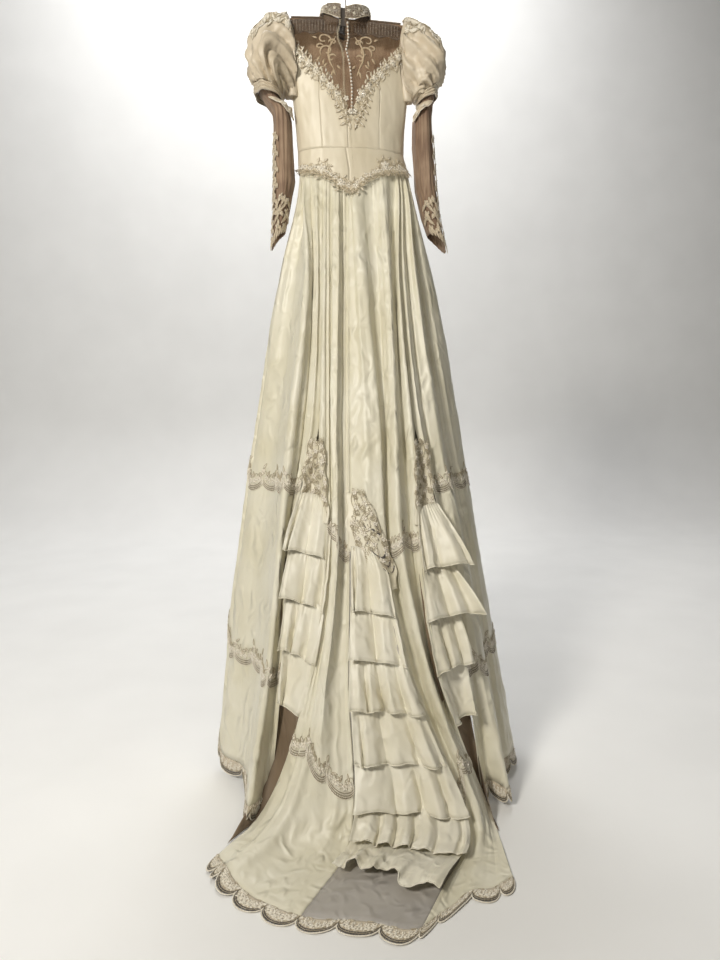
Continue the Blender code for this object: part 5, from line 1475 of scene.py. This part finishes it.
# ---------------------------------------------------------------- lace on the skirt
def band(patch, level, name, seed):
    """A scalloped lace band round the skirt."""
    chart, width = along_row(patch, level)
    row = Scallops(chart, width, max(2, round(width / BAND_SCALLOP)), BAND_JOINT, BAND_LACE)
    # these dark arcs and bars paint the shade in the band's open ladder; the light cords follow
    arcs = Lace(chart, 0.0010)
    row.arcs(arcs, (0.0018, 0.0075, 0.0132), 0.0006)
    row.bars(arcs, 0.0018, 0.0075, 0.0050)
    arcs.build(name + "_arcs", THREAD, BAND_GAP_SHADE, PEARL_BEAD, 0.0009)
    cords = Lace(chart, 0.0010)
    row.arcs(cords, (0.0, 0.0052, 0.0108, 0.0165), 0.0009)
    cords.build(name + "_cords", THREAD, THREAD, PEARL_BEAD, 0.0011)
    lace = Lace(chart, 0.0010, seed)
    for i in range(row.count):
        for f in (0.0, 0.15, 0.32, 0.50, 0.68, 0.85):
            x = row.pitch * i + f * row.pitch
            y = 0.028 * float(scallop(f)) - 0.026 + lace.rng.uniform(-0.002, 0.002)
            lace.bloom(x, y, lace.rng.uniform(0.0080, 0.0100))
            lace.leaf(x, y - 0.004, lace.rng.uniform(-2.6, -0.5), 0.018, 0.0030)
            if 0.1 < f < 0.9:
                lace.tendril(x, y - 0.008, -1.57 + 0.6 * (0.5 - f), 0.022, 1 if f > 0.5 else -1)
    lace.build(name, THREAD, SHADED_OUTLINE, PEARL_BEAD, 0.0008)


for name, seed in (("back_left", 30), ("back_right", 31), ("front", 37), ("side_left", 57),
                   ("side_right", 58)):
    for row, share in enumerate(BAND_LEVELS):
        band(PATCHES[name], share, "skirt_band_%d_%s" % (row + 1, name), seed + 10 * row)


def outermost():
    """How far back the outermost cloth is over the tops of the inserts, as a function of x and z."""
    step = 0.005
    xs, zs = np.arange(-0.24, 0.30, step), np.arange(-1.76, -1.26, step)
    field = np.zeros((len(zs), len(xs)))
    for name in [*PANELS, "insert_left", "insert_right"]:
        grid = PATCHES[name].grid
        for f in (0.0, 0.25, 0.5, 0.75):
            fine = mix(grid[:-1], grid[1:], f)
            column = ((fine[..., 0] - xs[0]) / step + 0.5).astype(int)
            row = ((fine[..., 2] - zs[0]) / step + 0.5).astype(int)
            good = (row >= 0) & (row < len(zs)) & (column >= 0) & (column < len(xs))
            np.minimum.at(field, (row[good], column[good]), fine[..., 1][good])

    def around(grid):
        return [np.roll(np.roll(grid, i, 0), j, 1) for i in (-1, 0, 1) for j in (-1, 0, 1)]
    for _ in range(6):
        field = np.where(field < 0.0, field, np.min(around(field), axis=0))
    field = np.min(around(field), axis=0)
    for _ in range(3):
        field = np.mean(around(field), axis=0)

    def find(x, z):
        u, v = (x - xs[0]) / step, (z - zs[0]) / step
        i, j = u.astype(int), v.astype(int)
        return mix(mix(field[j, i], field[j, i + 1], u - i),
                   mix(field[j + 1, i], field[j + 1, i + 1], u - i), v - j)
    return find


def motif_patch(name, surface, spare=0.0):
    """A motif's face, laid over the folds at both sides of the top of an insert, or its satin
    ground, which is cut with some to spare at the foot."""
    rows = MOTIFS[name]
    z, u = np.meshgrid(np.linspace(rows[0][0] - 0.3 * spare, rows[-1][0] - spare, 41),
                       np.linspace(0.0, 1.0, 15), indexing="ij")
    wave = 0.0025 * np.sin(90.0 * z)
    x = mix(table(rows, z, 1) + wave, table(rows, z, 2) + wave, u)
    x += 0.3 * (u - 1.0) * spare * (name == "centre")
    return Patch(xyz(x, surface(x, z) - 0.0035 + 0.05 * spare, z), (0, -1, 0.3))


def motif(name, seed, surface):
    """Flowers, leaves and scrolls that fill a tapering shape, held by a vine."""
    patch = motif_patch(name, surface)
    length = patch.size()[1]
    rows = patch.grid.shape[0]
    wide = np.linalg.norm(np.diff(patch.grid, axis=1), axis=2).sum(axis=1)

    def chart(x, y, out):
        here = np.interp(y / length * (rows - 1), np.arange(rows), wide)
        return patch.at(0.5 + x / np.maximum(here, 0.02), y / length, out)
    lace = Lace(chart, 0.0, seed)
    y, row = 0.012, 0
    while y < length - 0.008:
        half = 0.5 * np.interp(y / length * (rows - 1), np.arange(rows), wide)
        count = max(2, int(half / 0.0095))
        for k in range(count):
            x = (k + 0.5 - 0.5 * count) * 2.0 * half / count + lace.rng.uniform(-0.003, 0.003)
            size = lace.rng.uniform(0.0065, 0.0095)
            turn = lace.rng.uniform(0.0, 6.3)
            if (k + row) % 3 == 0:
                lace.bloom(x, y, size)
                lace.leaf(x, y, turn, 0.015, 0.0026)
            elif (k + row) % 3 == 1:
                lace.rosette(x, y, size, 5)
                lace.tendril(x, y, turn, 0.018, 1 if k % 2 else -1)
            else:
                lace.scroll(x, y, 0.010, turn, 1 if k % 2 else -1, 0.0016)
                lace.tendril(x, y, turn + 2.6, 0.016, -1)
        y += 0.0150
        row += 1
    s = np.linspace(0.0, 1.0, 40)
    for hand in (-1, 1):
        edge = 0.5 * np.interp(s * (rows - 1), np.arange(rows), wide)
        lace.thread(flat_path(hand * edge * (0.80 + 0.16 * np.sin(16.0 * s + hand)), s * length))
        lace.thread(flat_path(hand * edge * 0.35 * np.sin(11.0 * s), s * length))
    lace.build("motif_%s_lace" % name, THREAD, SHADED_OUTLINE, PEARL_BEAD, 0.0007, node="motif_" + name)
    cloth("motif_%s_ground" % name, motif_patch(name, surface, 0.040), LACE, MOTIF_GROUND,
          "motif_" + name, "laid")


def motif_hole_shade(surface):
    """Dark blades at the foot of the middle motif that paint the shade in its open ladders."""
    patch = motif_patch("centre", surface)
    lace = Lace(patch.at, 0.0002, 6)
    for _ in range(18):
        x, y = lace.rng.uniform(0.40, 0.90), lace.rng.uniform(0.40, 0.64)
        turn = lace.rng.uniform(0.4, 1.9)
        way = np.array((0.10 * math.cos(turn), 0.030 * math.sin(turn)))
        lace.blade(np.array((x, y)) + arc(5)[:, None] * way,
                   0.012 * np.sin(math.pi * (0.1 + 0.8 * arc(5))))
    f = arc(13)
    for off in (0.0, 0.10, 0.20):
        lace.blade(flat_path(0.45 + 0.50 * f, 0.72 + off + 0.10 * np.sin(math.pi * f)),
                   0.014 * np.sin(math.pi * (0.06 + 0.88 * f)) ** 0.5)
    lace.build("motif_centre_hole_shade", LADDER_SHADE, LADDER_SHADE, PEARL_BEAD)


surface = outermost()
for index, name in enumerate(MOTIFS):
    motif(name, 60 + index, surface)
motif_hole_shade(surface)


def edging(name, patch, seed):
    """The scalloped edging of a hem: net ground, an open arc with bars and close dark cords that paint
    its shade, cords and flowers.
    """
    node = "hem_lace_" + name
    width = patch.size()[0]
    chart = whole(patch, width, HEM_LACE)
    row = Scallops(chart, width, PANELS[name][6], JOINT_LACE, HEM_LACE)
    across = arc(row.count * SCALLOP_POINTS + 1)[None]
    v = arc(8)[:, None] * (row.edge((across * row.count) % 1.0) - CORD - SLOT) / HEM_LACE
    ground = Patch(patch.at(across + 0.0 * v, v + 0.004), PANELS[name][5])
    cloth(node + "_ground", ground, LACE, GROUND, node, "hung")
    # four close dark cords in the open arc: painted shade for the darkness seen through it
    ladder = Lace(chart, 0.0004)
    row.arcs(ladder, (0.0056, 0.0066, 0.0106, 0.0116), 0.0002)
    ladder.build(node + "_ladder", THREAD, LADDER_SHADE, PEARL_BEAD, 0.0011)
    lace = Lace(chart, 0.0004, seed)
    row.arcs(lace, (0.0086, CORD + SLOT + 0.0010, CORD + SLOT + 0.0040), 0.0008)
    row.bars(lace, 0.002, CORD + SLOT, 0.0060)
    vary = lace.rng.uniform
    for i in range(row.count):
        x = row.pitch * i
        for f in (0.03, 0.18, 0.34, 0.50, 0.66, 0.82):
            y = float(row.edge(f)) - 0.0225 + vary(-0.0015, 0.0015)
            lace.bloom(x + f * row.pitch, y, vary(0.0080, 0.0098))
            if 0.1 < f < 0.9:
                lace.bloom(x + (f + 0.03) * row.pitch, y - 0.011, vary(0.0050, 0.0066))
        for hand in (-1, 1):
            lean = math.pi if hand < 0 else 0.0
            lace.leaf(x + (0.5 + 0.12 * hand) * row.pitch, 0.004, lean - hand * 0.5, 0.015, 0.0028)
            lace.tendril(x + (0.5 + 0.3 * hand) * row.pitch, 0.002, lean - hand * 1.2, 0.016, -hand)
    lace.build(node + "_flowers", THREAD, SHADED_OUTLINE, PEARL_BEAD, 0.0006)
    rim = Lace(chart, 0.0)
    row.arcs(rim, (0.0020,), 0.0)
    rim.build(node + "_rim", THREAD, THREAD, PEARL_BEAD, 0.0018)


for index, (name, patch) in enumerate(HEMS.items()):
    edging(name, patch, 80 + index)


# ---------------------------------------------------------------- lace on the bodice
def neckline(name):
    """Flowers along the V, leaf tips that point up on to the net, and leaves at the foot."""
    side = SIDES[name]
    lace = Lace(upper_chart, 0.0022, 7 + side)
    start, end = (0.158, 0.032) if side > 0 else (-0.158, -0.022)
    vary = lace.rng.uniform
    for i, x in enumerate(np.linspace(start, end, 15)):
        z = neckline_z(x)
        slope = (neckline_z(x + 0.003) - neckline_z(x - 0.003)) / 0.006
        up = math.atan2(-1.0, slope) + vary(-0.3, 0.3)
        # on the net: a small spray and a curling stem
        y = -z - 0.010 + vary(-0.003, 0.003)
        for turn, long in ((-0.9, 0.013), (0.0, 0.017), (0.9, 0.013)):
            lace.leaf(x, y, up + turn + vary(-0.2, 0.2), long * vary(0.8, 1.15), 0.0022, 0.4)
        lace.tendril(x, y, up + vary(-0.7, 0.7), vary(0.020, 0.034), 1 if i % 2 else -1)
        # along the edge: flowers of two sizes
        if i % 2:
            lace.bloom(x, -z + vary(-0.003, 0.005), vary(0.0095, 0.0125), 6)
        else:
            lace.rosette(x, -z + vary(0.000, 0.008), vary(0.0080, 0.0105), 5)
            lace.bloom(x + 0.005 * side, -z - 0.005, 0.0065)
        # on the satin: leaves and stems that trail down
        lace.leaf(x, -z + 0.010, 0.5 * math.pi + vary(-0.9, 0.9), vary(0.013, 0.019), 0.0026, 0.5)
        lace.tendril(x, -z + 0.010, 0.5 * math.pi + vary(-0.8, 0.8), vary(0.018, 0.028),
                     -1 if i % 2 else 1)
        for _ in range(4):
            lace.bead(x + vary(-0.010, 0.010), -z + vary(-0.014, 0.014))
    foot = 0.0125 + 0.0235 * side
    for i in range(5):
        z = mix(-0.366, -0.438, i / 4.0)
        x = foot + side * mix(0.012, -0.012, i / 4.0)
        lace.rosette(x, -z, mix(0.0135, 0.0095, i / 4.0), 6)
        for turn in (0.5 * math.pi - 0.9 * side, 0.5 * math.pi + 0.2 * side,
                     0.25 * math.pi * (2 - 3 * side)):
            lace.leaf(x + 0.006 * math.cos(turn), -z + 0.006 * math.sin(turn), turn, 0.018,
                      0.0030, 0.4)
        if i % 2:
            lace.bloom(x - 0.012 * side, -z - 0.004, 0.0085)
        lace.tendril(x, -z, 0.5 * math.pi - 1.2 * side, 0.026, side)
    for x, z in ((-0.103, -0.290), (-0.055, -0.317), (-0.050, -0.362), (0.041, -0.360),
                 (0.110, -0.286), (-0.126, -0.262), (0.062, -0.332)):
        if x * side > 0:
            for _ in range(14):
                lace.bead(x + vary(-0.009, 0.009), -z + vary(-0.009, 0.009), 0.0026)
    lace.build("neckline_lace_%s_flowers" % name, THREAD, NECK_CORD, SEQUIN, 0.0007, 0.0013,
               "neckline_lace_" + name)


def waist_lace(name):
    """Lace along the basque: a corded lower edge, flowers, and roses at the turns."""
    side = SIDES[name]
    lace = Lace(waist_chart, 0.0018, 17 + side)
    start, end = (0.001, 0.172) if side > 0 else (-0.001, -0.130)
    vary = lace.rng.uniform
    count = 15 if side > 0 else 12
    fine = np.linspace(start, end, 16 * count)
    dip = 0.004 * np.abs(np.sin(math.pi * np.linspace(0.0, count, len(fine))))
    for off in (0.009, 0.004, -0.004):
        lace.thread(np.column_stack((fine, -basque_z(fine) + off + dip)))
    for i, x in enumerate(np.linspace(start, end, count)):
        y = -basque_z(x)
        lace.rosette(x, y + vary(-0.002, 0.002), vary(0.0062, 0.0085), 5)
        lace.bloom(x, y - 0.010 + vary(-0.003, 0.003), vary(0.0062, 0.0090))
        lace.tendril(x, y - 0.010, vary(-2.6, -0.5), vary(0.016, 0.026), 1 if i % 2 else -1)
        lace.tendril(x, y + 0.002, vary(0.4, 2.7), vary(0.012, 0.018), -1 if i % 2 else 1)
        lace.leaf(x, y - 0.006, vary(-0.6, 0.6) + (math.pi if i % 2 else 0.0), 0.014, 0.0025)
        for _ in range(5):
            lace.bead(x + vary(-0.007, 0.007), y + vary(-0.018, 0.010))
    for x, z, size in ((0.107, -0.560, 0.0235), (0.150, -0.556, 0.014), (0.020, -0.624, 0.016),
                       (-0.075, -0.574, 0.0235), (-0.021, -0.617, 0.0195)):
        if x * side > 0:
            lace.bloom(x, -z, 0.62 * size, 6)
            lace.rosette(x, -z, size, 7)
            lace.rosette(x, -z, 0.8 * size, 5)
            for k in range(8):
                turn = 0.785 * k + 0.3
                lace.leaf(x + 0.8 * size * math.cos(turn), -z + 0.8 * size * math.sin(turn),
                          turn + 0.6, 0.012, 0.0024)
    lace.build("waist_lace_%s_flowers" % name, THREAD, NECK_CORD, SEQUIN, 0.0007, 0.0011,
               "waist_lace_" + name)


def yoke_scrolls():
    """Pale scrolls on the net, a pair that mirrors across the pearls, with leaf tails."""
    lace = Lace(upper_chart, 0.0020, 5)
    for side in (-1, 1):
        def across(dx):
            return -0.004 + side * dx

        def turned(angle):
            return angle if side > 0 else math.pi - angle
        for dx, y, radius, start, turns in (
                (0.062, 0.214, 0.0220, 2.6, 0.95), (0.054, 0.250, 0.0205, 0.6, -0.95),
                (0.036, 0.222, 0.0125, 0.2, -0.85), (0.075, 0.238, 0.0110, 3.4, 0.85),
                (0.040, 0.270, 0.0125, 3.6, 0.80)):
            lace.spiral(across(dx), y, radius, turned(start), turns * side)
        s = arc(15)
        lace.blade(np.column_stack((across(0.034 + 0.016 * np.sin(3.6 * s)), 0.302 - 0.100 * s)),
                   0.0030 * np.sin(math.pi * (0.06 + 0.88 * s)) ** 0.6)
        for dx, y, turn, long in ((0.078, 0.214, -0.5, 0.015),
                                  (0.070, 0.262, 0.9, 0.018), (0.060, 0.268, 1.3, 0.018),
                                  (0.038, 0.296, 1.9, 0.018), (0.036, 0.300, 1.3, 0.020),
                                  (0.050, 0.282, 0.7, 0.016), (0.028, 0.286, 2.3, 0.015)):
            lace.leaf(across(dx), y, turned(turn), long, 0.0034, 0.3 * side, False)
    lace.build("yoke_scrolls", PALE_LACE, PALE_LACE, SEQUIN, 0.0008, 0.0010)


for name in SIDES:
    neckline(name)
    waist_lace(name)
yoke_scrolls()


def collar_beading():
    """Rows of beads and small flowers on the collar, and its corded edges."""
    width, height, _ = COLLAR.size()
    lace = Lace(whole(COLLAR, width, height), 0.0004, 9)
    for row in range(9):
        y = height * (0.05 + 0.90 * row / 8.0)
        for x in np.arange(0.002 + 0.002 * (row % 2), width - 0.002, 0.0041):
            if lace.rng.uniform() < 0.80:
                lace.bead(x + lace.rng.uniform(-0.0009, 0.0009),
                          y + lace.rng.uniform(-0.0006, 0.0006), lace.rng.uniform(0.0002, 0.0012))
    for i, x in enumerate(np.arange(0.010, width - 0.008, 0.0165)):
        lace.bloom(x, height * (0.36 + 0.28 * (i % 2)), 0.0050)
    for y in (0.0006, height - 0.0006):
        lace.thread(np.column_stack((np.linspace(0.0, width, 160), np.full(160, y))), 0.0)
    lace.build("collar_beading", THREAD, NECK_CORD, SEQUIN, 0.0011, 0.0017)


def button_stand():
    """Twenty-seven pearls on a narrow satin stand, and looped cord at its edge."""
    z = np.linspace(PEARL_LINE[-1][0], PEARL_LINE[0][0], 109)[::-1, None]
    x = table(PEARL_LINE, z, 1) + np.linspace(-0.0026, 0.0026, 5)[None]
    strip = Patch(upper_back(x, z + 0.0 * x, 0.0020), (0, -1, 0))
    cloth("button_stand_cloth", strip, FACING, YOKE_LINING, "button_stand", None)
    z = np.linspace(PEARL_LINE[0][0] - 0.002, PEARL_LINE[-1][0] + 0.002, PEARL_COUNT)
    x, up = np.meshgrid(np.linspace(-0.024, 0.006, 9), np.linspace(-0.1250, -0.1750, 13))
    y = COLLAR_CENTRE_Y - 0.86 * COLLAR_HALF_Y + 0.02 * np.maximum(0.0, -0.150 - up)
    cloth("button_underlap_net", Patch(xyz(x, y, up), (0, -1, 0)), FACING, STAND_NET,
          "button_stand", "hung")
    sewn(grown("pearls", BEADS, upper_back(table(PEARL_LINE, z, 1), z, 0.0060), [], PEARL_BUTTON,
               Radius=PEARL / 2, Facets=2, Uneven=0.02))
    loops = Lace(upper_chart, 0.0016)
    z = np.linspace(LOOP_EDGE[0][0], LOOP_EDGE[-1][0], 320)
    x = table(LOOP_EDGE, z, 1)
    swing = np.linspace(0.0, 2.0 * math.pi * 46.0, len(z))
    loops.thread(np.column_stack((x + 0.0012 + 0.0022 * np.cos(swing), -z)))
    loops.thread(np.column_stack((x - 0.0010, -z)), 0.0)
    loops.build("button_loops", THREAD, NECK_CORD, PEARL_BEAD, 0.0006)


collar_beading()
button_stand()


def seams_and_zip():
    """Small stitches down the centre back seam."""
    lace = Lace(lambda x, y, out: body(x, -y, -1.0, out), 0.0, 3)
    for z in np.arange(-0.446, -0.575, -0.0045):
        x = mix(0.004, 0.012, (z + 0.446) / -0.13)
        lace.thread([(x, -z), (x + 0.0026, -z + 0.0006)], 0.0006)
    lace.build("centre_back_stitches", CREAM, CREAM, PEARL_BEAD, 0.0005)


seams_and_zip()


# ---------------------------------------------------------------- lace on the sleeves
def sleeve_lace(name):
    """A trail of flowers down the outer side that widens into a pointed cuff."""
    rows = SLEEVES[name]
    long = rows[0][0] - rows[-1][0]
    around = 0.270

    def chart(x, y, out):
        return sleeve(name, x / around, y / long, out)
    lace = Lace(chart, 0.0040, 40 + SIDES[name])
    stem = np.linspace(0.28, 0.97, 50)
    sway = 0.085 + 0.010 * np.sin(26.0 * stem) + 0.13 * ease((stem - 0.70) / 0.16)
    lace.thread(flat_path(around * sway, long * stem))
    for i, down in enumerate(np.arange(0.29, 0.72, 0.052)):
        x = around * (0.085 + 0.016 * (-1) ** i)
        lace.bloom(x, long * down, 0.0095)
        for lean in (0.7, -0.7):
            lace.leaf(x, long * down, math.pi / 2 + lean, 0.022, 0.0042)
        lace.leaf(x, long * down, -0.6 if i % 2 else math.pi + 0.6, 0.018, 0.0036)
    for row, down in enumerate((0.735, 0.785, 0.835, 0.885, 0.935)):
        half = mix(0.020, 0.042, ease(row / 2.0))
        for k in range(3):
            x = around * 0.215 + (k - 1) * half
            if (k + row) % 2:
                lace.bloom(x, long * down, 0.0115)
                for lean in (0.8, -0.8):
                    lace.leaf(x, long * down, math.pi / 2 + lean, 0.026, 0.0048)
            else:
                lace.scroll(x, long * down, 0.016, math.pi / 2 + 0.4 * (k - 1), 1 if k else -1,
                            0.0030)
                lace.leaf(x, long * down - 0.006, math.pi / 2 + 0.3 * (k - 1), 0.030, 0.0050)
    for k in range(7):
        x = around * 0.215 + (k - 3) * 0.0155
        lace.leaf(x, long * 0.945, math.pi / 2 + 0.08 * (k - 3), 0.026, 0.0050)
    lace.build("sleeve_lace_%s_flowers" % name, SLEEVE_LACE, SLEEVE_LACE, SEQUIN, 0.0009,
               node="sleeve_lace_" + name)


def puff_lace(name, patch):
    """Flowers on the outer cap of a puff."""
    around, long = 0.55, 0.22
    lace = Lace(lambda x, y, out: patch.at((x / around) % 1.0, y / long, out), 0.0014, 50)
    for x, y, size in ((0.030, 0.030, 0.015), (0.060, 0.052, 0.013), (0.022, 0.072, 0.013),
                       (0.075, 0.022, 0.012), (0.046, 0.092, 0.012), (-0.010, 0.050, 0.013),
                       (0.016, 0.112, 0.011)):
        lace.bloom(x, y, size)
        for turn in (0.6, 2.3, 4.1):
            lace.leaf(x, y, turn + 9.0 * x, 0.026, 0.0048)
        lace.scroll(x + 0.010, y + 0.010, 0.014, 1.0 + 20.0 * y, 1)
    lace.build("puff_lace_" + name, THREAD, SHADED_OUTLINE, SEQUIN, 0.0009)


def sleeve_flap(name):
    """A pointed satin and lace flap under the puff's band."""
    v, u = np.meshgrid(np.linspace(0.0, 1.0, 19), np.linspace(0.0, 1.0, 13), indexing="ij")
    wide = 0.11 * (1.0 - v ** 1.5) + 0.012
    flap = Patch(sleeve(name, 0.42 - wide * (1.0 - u) * 2.0 + 0.02 * v, mix(0.06, 0.185, v), 0.0075),
                 (0, -1, 0))
    flap.push(0.0010 * np.sin(2 * math.pi * 3 * u) * v
              + 0.0060 * wander(flap.grid, 0.020, 8) * np.sin(math.pi * v))
    cloth("sleeve_flap_%s_cloth" % name, flap, LACE, PUFF, "sleeve_flap_" + name, "hung")
    width, length, _ = flap.size()
    lace = Lace(whole(flap, width, length), 0.0010, 90)
    for k in range(6):
        y = length * (0.12 + 0.15 * k)
        lace.leaf(0.5 * width, y, math.pi / 2 + (0.6 if k % 2 else -0.6), 0.018, 0.0036)
    lace.bloom(0.5 * width, 0.30 * length, 0.0100)
    edge = np.linspace(0.02, 0.98, 30)
    for u0 in (0.03, 0.97):
        lace.thread(np.column_stack((np.full(30, u0 * width), edge * length)))
    lace.build("sleeve_flap_%s_lace" % name, THREAD, THREAD, PEARL_BEAD, 0.0009)


for name in SIDES:
    sleeve_lace(name)
    puff_lace(name, PATCHES["puff_" + name])
    sleeve_flap(name)


# ---------------------------------------------------------------- hanger
def bar_z(x):
    """The middle of the hanger's bar, which droops to its ends."""
    return HANGER_Z - HANGER_DROOP * (x / HANGER_HALF_LENGTH) ** 2


def hanger_bar():
    """The padded bar in shirred cloth: fine gathers right round it, drawn in at their stitches."""
    ribs = 62
    s = np.linspace(0.0, 1.0, ribs * 3 + 1)[:, None]
    turn = np.linspace(0.0, 2.0 * math.pi, 17)[None]
    x = mix(-HANGER_HALF_LENGTH, HANGER_HALF_LENGTH, s)
    z = bar_z(x)
    close = np.sqrt(np.clip(1.0 - np.abs(2.0 * s - 1.0) ** 18, 0.02, 1.0))
    rib = np.abs(np.sin(math.pi * ribs * s + 0.6 * np.sin(3.0 * turn)))
    radius = close * (HANGER_RADIUS - 0.0022 + 0.0030 * rib ** 0.6)
    grid = xyz(x + 0.0 * turn, radius * np.cos(turn), z + radius * np.sin(turn))
    patch = Patch(grid, (0, 1, 0), (0.0, 0.5))
    cloth("hanger_bar_cover", patch, FACING, HANGER_CLOTH, "hanger_bar", "gathered",
          True)


def hanger_frill():
    """The gathered edge of the bar's cover, which hangs below it inside the shoulders."""
    ribs = 84
    s, v = np.meshgrid(np.linspace(0.0, 1.0, ribs * 4 + 1), np.linspace(0.0, 1.0, 6))
    x = mix(-0.158, 0.158, s)
    rib = np.abs(np.sin(math.pi * ribs * s + 0.9 * np.sin(5.0 * v + 30.0 * s)))
    long = 0.026 + 0.003 * np.sin(41.0 * s)
    z = bar_z(x) - 0.006 - long * v
    patch = Patch(xyz(x, -0.0075 - 0.0022 * rib ** 0.6 * (0.4 + v), z), (0, -1, 0))
    cloth("hanger_bar_frill", patch, LACE, HANGER_CLOTH, "hanger_bar", "gathered")


def shirring_highlight_lines():
    """Pale cords a finger's width apart over the bar and its frill: painted highlights on the gathers
    of the cover.
    """
    points, edges = [], []
    for x in np.arange(-0.150, 0.1511, 0.0088):
        for k, (y, down) in enumerate(((-0.004, -0.0095), (-0.0118, 0.000), (-0.0118, 0.012),
                                       (-0.0122, 0.026))):
            if k:
                edges.append((len(points) - 1, len(points)))
            points.append((x + 0.0006 * math.sin(900.0 * x + k), y, bar_z(x) - down))
    sewn(grown("shirring_highlight_lines", THREADS, np.array(points), edges, RIB_HIGHLIGHT, Radius=0.0008, Sides=5))


hanger_bar()
hanger_frill()
shirring_highlight_lines()
for mesh_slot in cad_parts["hanger_hook"].material_slots:
    mesh_slot.material = WIRE


# ---------------------------------------------------------------- camera, floor and light
def aim(obj, place, target):
    """Put a light or the camera at a place, looking at a target."""
    direction = np.array(target, float) - np.array(place, float)
    flat = math.hypot(direction[0], direction[1])
    obj.location = place
    obj.rotation_euler = (math.pi / 2 + math.atan2(direction[2], flat), 0.0,
                          math.atan2(-direction[0], direction[1]))


def soft_light(name, place, target, size, power, colour):
    """A square soft box."""
    light = bpy.data.lights.new(name, "AREA")
    light.size = size
    light.energy = power
    light.color = hex_rgb(colour)[:3]
    obj = bpy.data.objects.new(name, light)
    bpy.context.scene.collection.objects.link(obj)
    aim(obj, place, target)


def make_camera():
    """The camera, low behind the train at a wide angle, with the fitted turn and tilt."""
    data = bpy.data.cameras.new("camera")
    data.lens = 26.0
    data.sensor_width = 36.0
    obj = bpy.data.objects.new("camera", data)
    bpy.context.scene.collection.objects.link(obj)
    turn, tilt = math.radians(6.5), math.radians(-6.0)
    obj.location = (-0.20, -2.12, -1.25)
    obj.rotation_euler = (math.pi / 2 + tilt, 0.0, -turn)
    bpy.context.scene.camera = obj


def make_room():
    """A plain pale floor that curves up into a backdrop."""
    bend = 3.2
    profile = [(-6.0, 0.0), (bend, 0.0)]
    profile += [(bend + math.sin(a), 1.0 - math.cos(a)) for a in np.radians(np.arange(10, 91, 10))]
    profile += [(bend + 1.0, 7.0)]
    points, faces = [], []
    for y, z in profile:
        points += [(-6.0, y, FLOOR - 0.001 + z), (6.0, y, FLOOR - 0.001 + z)]
    for i in range(len(profile) - 1):
        faces.append((2 * i, 2 * i + 1, 2 * i + 3, 2 * i + 2))
    mat, tree, bsdf, place = new_material("floor_paper", 0.9)
    grain = add(tree, "ShaderNodeTexNoise", {"Scale": 3.0}, {"Vector": place})
    finish(tree, bsdf, grain.outputs["Fac"], (0.3, 0.7), ("#EFEFEE", "#F3F3F2"))
    mesh_object("floor", points, faces, mat)


make_camera()
make_room()
soft_light("key", (-2.05, -2.95, 0.62), (0.0, -0.2, -1.25), 0.65, 106.0, "#FFFAF0")
soft_light("fill", (1.6, -3.2, -0.6), (0.0, -0.2, -1.2), 1.6, 5.0, "#FFF2DC")
soft_light("top", (-0.2, -1.3, 2.2), (0.0, -0.1, -1.0), 1.4, 12.0, "#FFFBF2")
soft_light("backdrop", (0.0, 2.6, 3.4), (0.0, 4.1, -1.6), 3.0, 190.0, "#FFFFFF")
world = bpy.data.worlds.new("studio")
world.use_nodes = True
world.node_tree.nodes["Background"].inputs["Color"].default_value = hex_rgb("#E6E2DA")
world.node_tree.nodes["Background"].inputs["Strength"].default_value = 0.10
bpy.context.scene.world = world
bpy.context.scene.view_settings.view_transform = "Standard"
